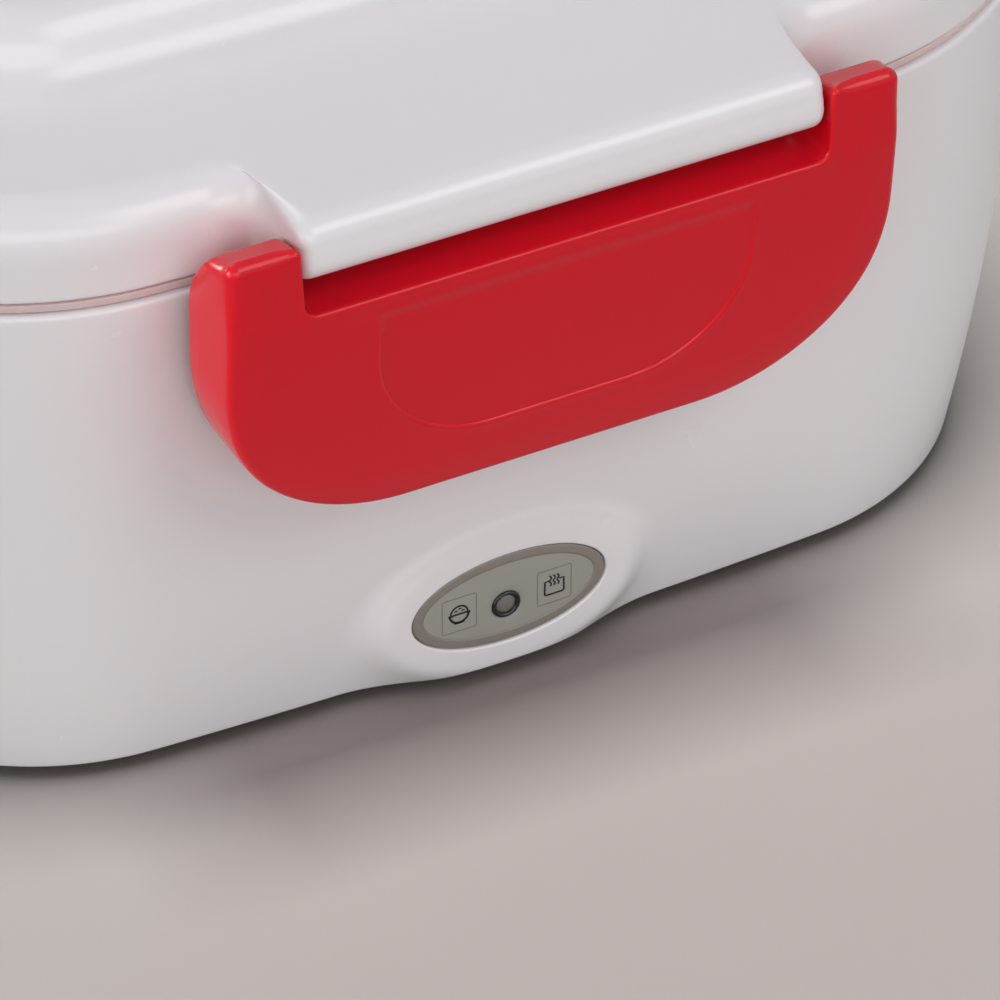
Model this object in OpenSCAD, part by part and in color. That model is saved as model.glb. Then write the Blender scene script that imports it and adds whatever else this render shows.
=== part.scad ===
// Electric lunch box: a heated base, a lift-off lid held by a latch at each end, and a fold-down handle.
// Millimetres. The box stands on z = 0 with its centre over the origin; the lamp end faces -Y.

/* [Body] */
// Width across the rim
body_width = 169; // [150:1:190]
// Length across the rim, without the latches
body_length = 214.4; // [200:0.2:250]
// Height of the body above its lower edge
body_height = 69.9; // [64:0.1:90]
// Corner radius of the rim in plan
corner_radius = 40.9; // [38.5:0.1:46]
// Radius of the bulged front and rear walls in plan
end_bulge_radius = 854; // [500:1:1500]
// Radius of the bulged side walls in plan
side_bulge_radius = 2400; // [1500:10:4000]
// How far the lower edge lies inside the rim
foot_inset = 6.4; // [3:0.1:9]
// Wall of the outer shell
shell_wall = 2.2; // [1.6:0.1:2.6]
// Width of the land round the top of the outer shell
rim_land = 1.5; // [1:0.1:2]
// Width of the ledge that carries the bowl
ledge_width = 2.9; // [2:0.1:3.6]

/* [Bowl] */
// Distance of the bowl's outer wall from the rim at the top
bowl_inset = 6; // [5:0.1:7]
// How much further in the bowl's wall lies at its floor
bowl_draft = 4; // [2:0.1:5]
// Wall of the bowl
bowl_wall = 2; // [1.5:0.1:2.5]
// Thickness of the bowl's flange
bowl_flange = 2.1; // [1.5:0.1:3]
// Height of the underside of the bowl's floor
bowl_floor_z = 24; // [22:0.5:30]
// Radius of the screw posts under the bowl
post_radius = 4; // [3.5:0.1:4.5]
// Distance of the screw posts from the rim's sides
post_from_side = 24.5; // [23.5:0.5:30]
// Distance of the screw posts from the rim's ends
post_from_end = 25.2; // [24:0.2:31]

/* [Bottom] */
// Thickness of the bottom cover
plate_thickness = 3; // [2.4:0.1:4]
// Height of the rubber feet
foot_height = 1.5; // [1:0.1:4]
// Radius of a rubber foot
foot_radius = 6.5; // [5:0.1:8]
// Distance of the feet from the rim's sides
foot_from_side = 38.5; // [36:0.5:44]
// Distance of the feet from the rim's ends
foot_from_end = 43.2; // [40:0.2:50]
// Radius of a bottom screw's thread
screw_radius = 1.3; // [1.1:0.05:1.6]
// Radius of a bottom screw's head
screw_head_radius = 3.1; // [2.6:0.1:3.4]
// Length of a bottom screw under its head
screw_length = 12; // [8:0.5:15]

/* [Heater] */
// Radius of the heating plate
heater_radius = 44; // [38:0.5:50]
// Thickness of the heating plate's rim
heater_rim = 2.5; // [1.5:0.1:3.5]
// Depth of the boss under the heating plate
heater_boss_depth = 5; // [4:0.1:6]
// Width of the gasket's ring
gasket_width = 5.5; // [4:0.1:7]
// Thickness of the gasket
gasket_thickness = 1; // [0.6:0.1:1.5]
// Length of the ceramic element
element_length = 38; // [30:1:40]
// Width of the ceramic element
element_width = 18; // [14:1:20]
// Height of the ceramic element
element_height = 5; // [4:0.1:6]
// Thickness of the clamp strap
clamp_thickness = 0.8; // [0.5:0.1:1.2]
// Radius of the thermal cutout
cutout_radius = 7; // [6:0.1:7.5]

/* [Lid] */
// Gap in the seam between the body's rim and the lid's edge
seam_gap = 1.9; // [1.5:0.1:2.5]
// Height of the lid's upright edge
lid_edge_height = 5.4; // [4.5:0.1:7]
// Radius of the lid's rounded shoulder
lid_shoulder_radius = 5.8; // [5:0.1:6.5]
// Distance of the raised middle of the lid from the rim
crown_inset = 27; // [24:0.5:29]
// Height of the raised middle above the shoulder
crown_height = 8; // [5:0.1:12]
// Wall of the lid
lid_wall = 2.2; // [1.6:0.1:2.6]
// Wall of the lid's inner cover
lid_cover_wall = 1.8; // [1.4:0.1:2.2]
// Depth of the inner cover's skirt below its flange
skirt_depth = 6.6; // [5:0.1:8]
// Thickness of the seal where it shows in the seam
seal_thickness = 1; // [0.7:0.1:1.2]

/* [Vent] */
// Distance of the vent from the middle of the lid
vent_y = 44; // [40:0.5:50]
// Radius of the vent plug's knob
vent_knob_radius = 6.5; // [5:0.1:8]
// Height of the vent plug's knob
vent_knob_height = 4; // [3:0.1:6]
// Radius of the vent plug's stem
vent_stem_radius = 2.4; // [1.8:0.1:3]
// How far the vent plug pulls out
vent_travel = 3; // [2:0.1:4]

/* [Handle] */
// Half the distance between the handle's arms, to their outer faces
handle_half_width = 47; // [42:0.5:49]
// Reach of the handle from its hinge to the outside of its grip
handle_reach = 50; // [40:0.5:58]
// Width of the handle's bar
handle_bar = 12; // [9:0.5:15]
// Thickness of the handle
handle_thickness = 10.5; // [8:0.5:11.5]
// Outer corner radius of the handle
handle_corner = 14; // [12.5:0.5:20]
// Radius of the handle's hinge eye
handle_eye_radius = 6; // [5:0.1:7]
// Radius of the handle's hinge pin
handle_pin_radius = 2; // [1.5:0.1:2.5]

/* [Latch] */
// Width of a latch
latch_width = 84.6; // [76:0.2:92]
// Width of the opening between a latch's ears
latch_notch_width = 65.8; // [58:0.2:68]
// Height of a latch's lower edge
latch_bottom_z = 40.6; // [36:0.1:44]
// Radius of a latch's lower corners
latch_corner_radius = 23.8; // [16:0.1:26]
// Distance of the latch's face from the rim at its crest
latch_stand_off = 11.8; // [10.5:0.1:14]
// How much nearer the body the latch's face lies at its lower edge
latch_lean = 4; // [1:0.1:5]
// Wall of a latch
latch_wall = 2.4; // [1.8:0.1:2.8]
// Depth of the plain recess in a latch's face
recess_depth = 0.5; // [0.2:0.1:0.8]
// Width of the plain recess
recess_width = 46.8; // [36:0.2:54]
// Radius of a latch's hinge stubs
hinge_radius = 1.25; // [1:0.05:1.6]
// Distance of a latch's hinge axis from the rim
hinge_out = 8.4; // [8:0.1:8.8]
// Height of a latch's hinge axis above the lid's lower edge
hinge_up = 6.3; // [5.8:0.1:6.8]

/* [Lamp] */
// Width of the oval lamp plate
lamp_width = 25.5; // [20:0.1:28]
// Height of the oval lamp plate
lamp_height = 12.9; // [10:0.1:14]
// Height of the lamp plate's centre above the body's lower edge
lamp_up = 9.8; // [9.6:0.1:12]
// Width of the white border round the lamp plate
lamp_border = 3.4; // [2.5:0.1:4]
// Distance of the lamp plate's face behind the rim
lamp_face = 3.2; // [2.6:0.1:4]
// Thickness of the lamp plate
lamp_plate_thickness = 1.2; // [0.8:0.1:1.6]
// Radius of the lamp lens
lens_radius = 1.3; // [1:0.05:1.6]
// Width of the black ring round the lens
ring_width = 0.55; // [0.4:0.05:0.8]
// How far the lens lies below the plate's centre
lens_drop = 0.9; // [0:0.1:1.5]

/* [Power inlet] */
// Distance between the inlet's pins
inlet_pitch = 8.6; // [8:0.1:9]
// Radius of an inlet pin
inlet_pin_radius = 1.19; // [1:0.01:1.4]
// Depth of the inlet's socket
inlet_depth = 14; // [12:0.5:16]
// Height of the inlet's axis above the body's lower edge
inlet_up = 13; // [12:0.5:15]

/* [Food containers] */
// Wall of the steel tray
tray_wall = 0.8; // [0.6:0.1:1.2]
// Height of the steel tray
tray_height = 34; // [28:0.5:38]
// Distance of the tray's dividing wall from the middle
divider_y = 24; // [16:0.5:28]
// Width of the small cup
cup_width = 112; // [90:1:118]
// Length of the small cup
cup_length = 56; // [46:1:58]
// Height of the small cup
cup_height = 26; // [20:0.5:28]
// Wall of the small cup
cup_wall = 1.6; // [1.2:0.1:2]

/* [Hidden] */
$fn = 48;

// Clearances and small overlaps
fit_gap = 0.1;       // between a piece and the seat that it is put into
run_gap = 0.05;      // between a hinge pin and its bore
loose_gap = 0.4;     // between faces that pass each other
joint_gap = 0.3;     // between pieces that part from each other
sink = 0.6;          // how far a boss runs into the wall that carries it
past = 1;            // how far a cut runs past the face that it opens

// Heights
shell_z = foot_height;
rim_z = shell_z + body_height;
plate_top_z = shell_z + plate_thickness;
ledge_z = rim_z - bowl_flange;
lid_z = rim_z + seam_gap;
shoulder_z = lid_z + lid_edge_height + lid_shoulder_radius;
crown_z = shoulder_z + crown_height;
bowl_inner_floor_z = bowl_floor_z + bowl_wall;
gasket_top_z = bowl_inner_floor_z + gasket_thickness;
heater_top_z = gasket_top_z + heater_rim;
heater_boss_z = gasket_top_z - heater_boss_depth;
tray_rim_z = heater_top_z + tray_height;

// The outline in plan: an arc for each end, each side and each corner, tangent to each other
half_width = body_width / 2;
half_length = body_length / 2;
post_x = half_width - post_from_side;
post_y = half_length - post_from_end;
foot_x = half_width - foot_from_side;
foot_y = half_length - foot_from_end;
end_center = [0, end_bulge_radius - half_length];
side_center = [half_width - side_bulge_radius, 0];
end_reach = end_bulge_radius - corner_radius;
side_reach = side_bulge_radius - corner_radius;
centers_gap = norm(side_center - end_center);
along = (end_reach * end_reach - side_reach * side_reach + centers_gap * centers_gap) / (2 * centers_gap);
across = sqrt(end_reach * end_reach - along * along);
toward = (side_center - end_center) / centers_gap;
corner_center = end_center + along * toward + across * [-toward.y, toward.x];
end_angle = atan2(corner_center.x - end_center.x, end_center.y - corner_center.y);
side_angle = atan2(corner_center.x - side_center.x, side_center.y - corner_center.y);
end_steps = 2;
corner_steps = 11;
side_steps = 2;
quarter_angles = concat(
    [for (i = [0:end_steps - 1]) end_angle * i / end_steps],
    [for (i = [0:corner_steps - 1]) end_angle + (side_angle - end_angle) * i / corner_steps],
    [for (i = [0:side_steps]) side_angle + (90 - side_angle) * i / side_steps]);

// Point of the outline whose normal points to angle a (0 is the front, 90 the side), moved in by inset
function outline_point(a, inset) =
    let (direction = [sin(a), -cos(a)])
    a <= end_angle ? end_center + (end_bulge_radius - inset) * direction :
    a >= side_angle ? side_center + (side_bulge_radius - inset) * direction :
    corner_center + (corner_radius - inset) * direction;

// The closed outline moved in by inset, counter-clockwise from the middle of the front
function outline(inset) =
    let (q = [for (a = quarter_angles) outline_point(a, inset)], n = len(q))
    concat(
        [for (i = [0:n - 2]) q[i]],
        [for (i = [n - 1:-1:1]) [q[i].x, -q[i].y]],
        [for (i = [0:n - 2]) [-q[i].x, -q[i].y]],
        [for (i = [n - 1:-1:1]) [-q[i].x, q[i].y]]);

// How far the shell's outside lies inside the rim at height z
function lean(z) = foot_inset * pow((rim_z - z) / body_height, 2);

// How far the bowl's outside lies inside the rim at height z
function bowl_at(z) = bowl_inset + bowl_draft * (ledge_z - z) / (ledge_z - bowl_floor_z);

// How far the tray's outside lies inside the rim at height z
function tray_at(z) = bowl_at(z) + bowl_wall + past;

// Side triangles between two rings of n points that start at points a and b
function band(a, b, n) = [
    for (i = [0:n - 1])
        for (triangle = [[a + i, b + i, b + (i + 1) % n], [a + i, b + (i + 1) % n, a + (i + 1) % n]])
            triangle
];

// Solid through a stack of rings, each a list of points; it is capped at both ends, or joined into a tube
module skin(rings, joined = false) {
    n = len(rings[0]);
    count = len(rings);
    last = joined ? count - 1 : count - 2;
    sides = [for (k = [0:last]) each band(k * n, ((k + 1) % count) * n, n)];
    caps = joined ? [] : [[for (i = [0:n - 1]) i], [for (i = [n - 1:-1:0]) (count - 1) * n + i]];
    polyhedron([for (ring = rings) each ring], concat(sides, caps));
}

// Solid through the body's outline at each [inset, z], upwards outside and downwards inside
module loft(profile, joined = false) {
    skin([for (p = profile) [for (q = outline(p[0])) [q.x, q.y, p[1]]]], joined);
}

// Points of an arc of radius r about c, from angle a to angle b
function arc(c, r, a, b, steps = 8) = [
    for (i = [0:steps])
        let (angle = a + (b - a) * i / steps)
        c + r * [cos(angle), sin(angle)]
];

// Outline of an ellipse
function ellipse(rx, ry, steps = 48) = [
    for (i = [0:steps - 1])
        [rx * cos(360 * i / steps), ry * sin(360 * i / steps)]
];

// Rectangle with round corners, about the origin
function round_box(w, l, r) = concat(
    arc([w / 2 - r, l / 2 - r], r, 0, 90), arc([r - w / 2, l / 2 - r], r, 90, 180),
    arc([r - w / 2, r - l / 2], r, 180, 270), arc([w / 2 - r, r - l / 2], r, 270, 360));

// Puts a piece drawn about the middle of the rim's front edge, outside towards -Y, at an end of the box
module at_front() { translate([0, -half_length, 0]) children(); }
module at_rear() { rotate([0, 0, 180]) at_front() children(); }

// Extrudes an [x, z] shape along Y from y0 to y1, and a [y, z] shape along X from -half to half
module along_y(y0, y1) { translate([0, y1, 0]) rotate([90, 0, 0]) linear_extrude(y1 - y0) children(); }
module along_x(half) { rotate([90, 0, 90]) translate([0, 0, -half]) linear_extrude(2 * half) children(); }

// Round bar along Y from y0 to y1 through [x, z], and along X from x0 to x1 through [y, z]
module bar_y(x, z, r, y0, y1) { translate([x, y1, z]) rotate([90, 0, 0]) cylinder(h = y1 - y0, r = r); }
module bar_x(y, z, r, x0, x1) { translate([x0, y, z]) rotate([0, 90, 0]) cylinder(h = x1 - x0, r = r); }

// Copies at the four corners of a rectangle
module at_corners(x, y) {
    for (sx = [-1, 1])
        for (sy = [-1, 1])
            translate([sx * x, sy * y, 0]) children();
}

// ---- Base ----

shell_steps = [12, 24, 36, 48, 59];
catch_z = rim_z - 13;         // underside of the rib that a latch snaps under
catch_height = 3;
catch_half = 15;
catch_reach = 2.2;
ledge_slope = 5;              // height in which the ledge runs back into the wall
edge_round = 1;
boss_back = lean(shell_z) + shell_wall;

lamp_z = shell_z + lamp_up;
lens_z = lamp_z - lens_drop;
ring_radius = lens_radius + ring_width;
pocket_back = lamp_face + lamp_plate_thickness;
stake_x = 5.5;
stake_radius = 1.6;
stake_tip_radius = 0.9;
stake_tip_length = 0.4;       // of a stake beyond the board
led_radius = 1.5;
led_front = boss_back + 0.4;
board_front = led_front + 4.6;
board_thickness = 1.2;
board_back = board_front + board_thickness;

inlet_z = shell_z + inlet_up;
inlet_face = 3.2;             // distance of the inlet's seat behind the rim
inlet_hole = [22, 12];
inlet_flange = [27, 16];
inlet_flange_thickness = 1.4;
inlet_back_wall = 3;
inlet_tail = 5;               // length of a pin behind the inlet

// Oval bulge at the foot of the shell; it flares into the wall and is cut level with the lower edge
module lamp_boss() {
    border = [lamp_width / 2 + lamp_border, lamp_height / 2 + lamp_border];
    flare = [[1, boss_back - lamp_face], [4.1, 3.7], [2.6, 2.1], [1.4, 0.95], [0.5, 0.25], [0, 0]];
    skin([for (f = flare)
        let (cut_z = shell_z + 0.001 * f[0])
        [for (q = ellipse(border.x + f[0], border.y + f[0]))
            [q.x, lamp_face + f[1], max(lamp_z + q.y, cut_z)]]]);
}

module inlet_pad() {
    along_y(inlet_face, boss_back)
        translate([0, inlet_z]) polygon(round_box(inlet_flange.x + 3, inlet_flange.y + 3, 4));
}

module catch_rib() {
    along_x(catch_half)
        polygon([[sink, catch_z], [-catch_reach, catch_z + 0.4], [-catch_reach, catch_z + 1.2],
                 [sink, catch_z + catch_height]]);
}

module outer_shell() {
    outside = concat(
        [[lean(shell_z) + edge_round, shell_z], [lean(shell_z) + 0.3, shell_z + 0.3],
         [lean(shell_z + edge_round), shell_z + edge_round]],
        [for (z = shell_steps) [lean(z), z]],
        [[0, rim_z - 0.5], [0.15, rim_z - 0.15], [0.5, rim_z]]);
    inside = concat(
        [[rim_land, rim_z], [rim_land, ledge_z], [rim_land + ledge_width, ledge_z],
         [lean(ledge_z - ledge_slope) + shell_wall, ledge_z - ledge_slope]],
        [for (i = [len(shell_steps) - 1:-1:0]) [lean(shell_steps[i]) + shell_wall, shell_steps[i]]],
        [[lean(shell_z) + shell_wall, shell_z]]);
    color("white") difference() {
        union() {
            loft(concat(outside, inside), joined = true);
            at_front() {
                lamp_boss();
                catch_rib();
                for (sx = [-1, 1]) {
                    bar_y(sx * stake_x, lens_z, stake_radius, boss_back - sink, board_front);
                    bar_y(sx * stake_x, lens_z, stake_tip_radius, boss_back, board_back + stake_tip_length);
                }
            }
            at_rear() {
                inlet_pad();
                catch_rib();
            }
        }
        at_front() {
            along_y(lamp_face - past, pocket_back)
                translate([0, lamp_z]) polygon(ellipse(lamp_width / 2 + fit_gap, lamp_height / 2 + fit_gap));
            bar_y(0, lens_z, ring_radius + fit_gap, lamp_face, boss_back + past);
        }
        at_rear()
            along_y(inlet_face - past, boss_back + past)
                translate([0, inlet_z]) square(inlet_hole + [2, 2] * fit_gap, center = true);
    }
}

module inner_liner() {
    hole_top_z = head_seat_z + screw_length + past;
    gasket_inner = heater_radius - gasket_width;
    color("white") difference() {
        union() {
            loft([
                [bowl_at(bowl_floor_z) + 4, bowl_floor_z],
                [bowl_at(bowl_floor_z) + 1.2, bowl_floor_z + 1.2],
                [bowl_at(bowl_floor_z + 4), bowl_floor_z + 4],
                [bowl_inset, ledge_z],
                [rim_land + fit_gap, ledge_z],
                [rim_land + fit_gap, rim_z],
                [bowl_at(rim_z) + bowl_wall, rim_z],
                [bowl_at(bowl_floor_z + 6) + bowl_wall, bowl_floor_z + 6],
                [bowl_at(bowl_floor_z) + bowl_wall + 1.6, bowl_inner_floor_z + 1.2],
                [bowl_at(bowl_floor_z) + bowl_wall + 4.4, bowl_inner_floor_z]]);
            at_corners(post_x, post_y)
                translate([0, 0, plate_top_z])
                    cylinder(h = bowl_floor_z - plate_top_z + sink, r = post_radius);
        }
        translate([0, 0, bowl_floor_z - past]) cylinder(h = bowl_wall + 2 * past, r = gasket_inner);
        at_corners(post_x, post_y)
            translate([0, 0, plate_top_z - past])
                cylinder(h = hole_top_z - plate_top_z + past, r = screw_radius + run_gap);
    }
}

screw_head_height = 1.4;
head_seat_z = plate_top_z - 1.4;

module base_plate() {
    inset = lean(shell_z) + shell_wall + joint_gap;
    slots = [-2, -1, 0, 1, 2];
    slot_pitch = 12;
    slot = [2.5, 48];
    through = plate_thickness + 2 * past;
    color("whitesmoke") difference() {
        loft([[inset, shell_z], [inset, plate_top_z]]);
        at_corners(post_x, post_y) {
            translate([0, 0, shell_z - past]) cylinder(h = through, r = screw_radius + fit_gap);
            translate([0, 0, shell_z - past])
                cylinder(h = head_seat_z - shell_z + past, r = screw_head_radius + fit_gap);
        }
        at_corners(foot_x, foot_y)
            translate([0, 0, shell_z - past]) cylinder(h = through, r = foot_radius / 2 + fit_gap);
        for (i = slots)
            translate([i * slot_pitch - slot.x / 2, -slot.y / 2, shell_z - past])
                cube([slot.x, slot.y, through]);
    }
}

module rubber_feet() {
    lip = 0.8;
    color("dimgray")
        at_corners(foot_x, foot_y)
            rotate_extrude()
                polygon([[0, 0], [foot_radius - 0.4, 0], [foot_radius, 0.4], [foot_radius, foot_height],
                         [foot_radius / 2, foot_height], [foot_radius / 2, plate_top_z],
                         [foot_radius / 2 + lip, plate_top_z], [foot_radius / 2, plate_top_z + 1.2],
                         [0, plate_top_z + 1.2]]);
}

module base_screws() {
    slot = 0.7;
    slot_depth = 0.8;
    color("silver")
        at_corners(post_x, post_y)
            difference() {
                union() {
                    translate([0, 0, head_seat_z]) cylinder(h = screw_length, r = screw_radius);
                    translate([0, 0, head_seat_z - screw_head_height])
                        cylinder(h = screw_head_height, r = screw_head_radius);
                }
                for (turn = [0, 90])
                    rotate([0, 0, turn])
                        translate([0, 0, head_seat_z - screw_head_height])
                            cube([screw_head_radius * 1.2, slot, 2 * slot_depth], center = true);
            }
}

// ---- Heater ----

clamp_screw_y = element_width / 2 + 6;
clamp_hole_depth = 4;
clamp_screw_radius = 1.2;
element_z = heater_boss_z - element_height;
strap_z = element_z - clamp_thickness;
cutout_x = element_length / 2 + cutout_radius + 2;
cutout_height = element_height;
strap_width = 12;

module heating_plate() {
    boss_radius = heater_radius - gasket_width - joint_gap;
    color("silver") difference() {
        union() {
            translate([0, 0, gasket_top_z]) cylinder(h = heater_rim, r = heater_radius, $fn = 96);
            translate([0, 0, heater_boss_z])
                cylinder(h = heater_boss_depth + sink, r = boss_radius, $fn = 96);
        }
        for (s = [-1, 1])
            translate([0, s * clamp_screw_y, heater_boss_z - past])
                cylinder(h = clamp_hole_depth + past, r = clamp_screw_radius + run_gap);
    }
}

module plate_gasket() {
    color("orangered") translate([0, 0, bowl_inner_floor_z]) difference() {
        cylinder(h = gasket_thickness, r = heater_radius - joint_gap, $fn = 96);
        translate([0, 0, -past])
            cylinder(h = gasket_thickness + 2 * past, r = heater_radius - gasket_width, $fn = 96);
    }
}

module ptc_heater() {
    groove = 1.2;
    color("gainsboro") difference() {
        translate([-element_length / 2, -element_width / 2, element_z])
            cube([element_length, element_width, element_height]);
        for (s = [-1, 1])
            translate([-element_length / 2 - past, s * element_width / 4 - groove / 2, element_z - past])
                cube([element_length / 4 + past, groove, groove + past]);
    }
}

module heater_clamp() {
    leg_y = element_width / 2 + 0.5;
    leg_out = leg_y + clamp_thickness;
    foot_end = clamp_screw_y + 3.5;
    seat_z = heater_boss_z - clamp_thickness;
    color("lightsteelblue") difference() {
        union() {
            along_x(strap_width / 2)
                polygon([[-foot_end, heater_boss_z], [-foot_end, seat_z], [-leg_out, seat_z],
                         [-leg_out, strap_z], [leg_out, strap_z], [leg_out, seat_z],
                         [foot_end, seat_z], [foot_end, heater_boss_z],
                         [leg_y, heater_boss_z], [leg_y, element_z],
                         [-leg_y, element_z], [-leg_y, heater_boss_z]]);
            translate([0, -strap_width / 4, strap_z])
                cube([cutout_x + cutout_radius / 2, strap_width / 2, clamp_thickness]);
        }
        for (s = [-1, 1])
            translate([0, s * clamp_screw_y, seat_z - past])
                cylinder(h = clamp_thickness + 2 * past, r = clamp_screw_radius + fit_gap);
    }
}

module clamp_screws() {
    head = 2.4;
    head_height = 1.6;
    seat = heater_boss_z - clamp_thickness;
    color("silver")
        for (s = [-1, 1])
            translate([0, s * clamp_screw_y, 0]) {
                translate([0, 0, seat])
                    cylinder(h = clamp_thickness + clamp_hole_depth - joint_gap, r = clamp_screw_radius);
                translate([0, 0, seat - head_height]) cylinder(h = head_height, r = head);
            }
}

terminal_size = [3, 5, 0.8];
terminal_z = element_z + 1.9;

module thermal_cutout() {
    color("tan") {
        translate([cutout_x, 0, element_z]) cylinder(h = cutout_height, r = cutout_radius);
        for (s = [-1, 1])
            translate([cutout_x, s * (cutout_radius + terminal_size.y / 2 - past), terminal_z])
                cube(terminal_size, center = true);
    }
}

// ---- Power inlet, wires and lamp ----

module power_inlet() {
    lobe = inlet_hole.y / 2 - 1.6;
    front = inlet_face - inlet_flange_thickness;
    back = inlet_face + inlet_depth + inlet_back_wall;
    socket_back = front + inlet_depth;
    color("black") at_rear() difference() {
        union() {
            along_y(front, inlet_face)
                translate([0, inlet_z]) polygon(round_box(inlet_flange.x, inlet_flange.y, 3));
            along_y(inlet_face - past, back) translate([0, inlet_z]) square(inlet_hole, center = true);
            for (s = [-1, 1])
                translate([s * (inlet_hole.x / 2 - past), boss_back + joint_gap, inlet_z])
                    along_y(0, 3) polygon([[0, -3], [s * 2, -3], [s * 2, 3], [0, 3]]);
        }
        for (s = [-1, 1]) {
            bar_y(s * inlet_pitch / 2, inlet_z, lobe, front - past, socket_back);
            bar_y(s * inlet_pitch / 2, inlet_z, inlet_pin_radius + run_gap, socket_back - past, back + past);
        }
        along_y(front - past, socket_back)
            translate([0, inlet_z]) square([inlet_pitch, lobe * 1.5], center = true);
    }
}

inlet_pin_end = inlet_face + inlet_depth + inlet_back_wall + inlet_tail;

module inlet_pins() {
    tip = inlet_face + 2;
    color("gold") at_rear()
        for (s = [-1, 1])
            bar_y(s * inlet_pitch / 2, inlet_z, inlet_pin_radius, tip, inlet_pin_end);
}

wire_radius = 1;
wire_sides = 8;

// Point of a smooth curve through p, at step t between p[i] and p[i + 1]
function curve_point(p, i, t) =
    let (a = p[max(i - 1, 0)], b = p[i], c = p[i + 1], d = p[min(i + 2, len(p) - 1)])
    0.5 * (2 * b + t * (c - a) + t * t * (2 * a - 5 * b + 4 * c - d) + t * t * t * (3 * b - a - 3 * c + d));
function curve(p, steps) = concat(
    [for (i = [0:len(p) - 2]) for (k = [0:steps - 1]) curve_point(p, i, k / steps)],
    [p[len(p) - 1]]);
function unit(v) = v / norm(v);

// Wire along the points; side is a direction that the route never takes
module wire(points, side, radius = wire_radius) {
    path = curve(points, 5);
    n = len(path);
    skin([for (i = [0:n - 1])
        let (tangent = unit(path[min(i + 1, n - 1)] - path[max(i - 1, 0)]),
             u = unit(cross(tangent, side)), v = cross(tangent, u))
        [for (k = [0:wire_sides - 1])
            let (a = 360 * k / wire_sides) path[i] + radius * (cos(a) * u - sin(a) * v)]]);
}

pin_y = half_length - inlet_pin_end - joint_gap;
terminal_y = cutout_radius + terminal_size.y - past;
wire_z = plate_top_z + 4.5;
element_tap_y = element_width / 4;
element_tap_z = element_z + element_height / 2;

module live_wire() {
    color("brown") wire([
        [-inlet_pitch / 2, pin_y, inlet_z],
        [-inlet_pitch / 2, pin_y - 5, inlet_z],
        [0.05 * heater_radius, 1.5 * heater_radius, wire_z],
        [0.55 * heater_radius, 1.18 * heater_radius, wire_z],
        [0.77 * heater_radius, 0.77 * heater_radius, wire_z],
        [0.75 * heater_radius, 0.5 * heater_radius, (wire_z + terminal_z) / 2],
        [cutout_x, terminal_y + 5, terminal_z],
        [cutout_x, terminal_y + joint_gap, terminal_z]], [1, 0, 0.6]);
}

module link_wire() {
    color("brown") wire([
        [cutout_x, -terminal_y - joint_gap, terminal_z],
        [cutout_x - 1, -terminal_y - 5, terminal_z - 1],
        [0.4 * heater_radius, -0.59 * heater_radius, wire_z + 3],
        [0, -0.7 * heater_radius, wire_z + 2],
        [-0.5 * heater_radius, -0.59 * heater_radius, wire_z + 2],
        [-0.7 * heater_radius, -0.32 * heater_radius, wire_z + 5],
        [-element_length / 2 - 8, -element_tap_y, element_tap_z],
        [-element_length / 2 - 3, -element_tap_y, element_tap_z],
        [-element_length / 2 - joint_gap, -element_tap_y, element_tap_z]], [0.3, 0.2, 1]);
}

module neutral_wire() {
    color("royalblue") wire([
        [inlet_pitch / 2, pin_y, inlet_z],
        [inlet_pitch / 2, pin_y - 6, inlet_z + 2],
        [-0.09 * heater_radius, 1.45 * heater_radius, wire_z + 5],
        [-0.55 * heater_radius, 1.09 * heater_radius, wire_z + 5],
        [-0.82 * heater_radius, 0.64 * heater_radius, wire_z + 5],
        [-0.77 * heater_radius, 0.27 * heater_radius, wire_z + 6],
        [-element_length / 2 - 8, element_tap_y, element_tap_z],
        [-element_length / 2 - 3, element_tap_y, element_tap_z],
        [-element_length / 2 - joint_gap, element_tap_y, element_tap_z]], [0.1, 0.3, 1]);
}

board_size = [17, 9.5];

module lamp_wires() {
    start_y = board_back + fit_gap - half_length;
    end_x = inlet_pitch / 2 + inlet_pin_radius + fit_gap;
    end_y = pin_y + 2.5;
    z = plate_top_z + 3;
    color("gray")
        for (s = [-1, 1])
            wire([
                [s * 3, start_y, lens_z],
                [s * 3, start_y + 4, lens_z],
                [s * 0.17 * half_width, -0.65 * half_length, z],
                [s * 0.45 * half_width, -0.47 * half_length, z],
                [s * 0.62 * half_width, -0.19 * half_length, z],
                [s * 0.62 * half_width, 0.19 * half_length, z],
                [s * 0.47 * half_width, 0.47 * half_length, z],
                [s * 0.26 * half_width, 0.67 * half_length, z + 1],
                [s * (end_x + 4), end_y, inlet_z],
                [s * end_x, end_y, inlet_z]], [0.2, 0.1, 1], 0.7);
}

module lamp_plate() {
    color("darkgray") at_front() difference() {
        along_y(lamp_face, pocket_back)
            translate([0, lamp_z]) polygon(ellipse(lamp_width / 2, lamp_height / 2));
        bar_y(0, lens_z, ring_radius + run_gap, lamp_face - past, pocket_back + past);
    }
}

module lamp_ring() {
    color("black") at_front() difference() {
        bar_y(0, lens_z, ring_radius, lamp_face - 0.1, pocket_back + 1.6);
        bar_y(0, lens_z, lens_radius + run_gap, lamp_face - past, pocket_back + past + 1.6);
    }
}

module lamp_lens() {
    color("dimgray") at_front() bar_y(0, lens_z, lens_radius, lamp_face + 0.1, boss_back + 0.2);
}

module indicator_led() {
    color("red") at_front() {
        bar_y(0, lens_z, led_radius, led_front + led_radius, board_front);
        intersection() {
            translate([0, led_front + led_radius, lens_z]) sphere(r = led_radius);
            translate([0, led_front, lens_z]) cube([4, 2, 4] * led_radius, center = true);
        }
    }
}

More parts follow.
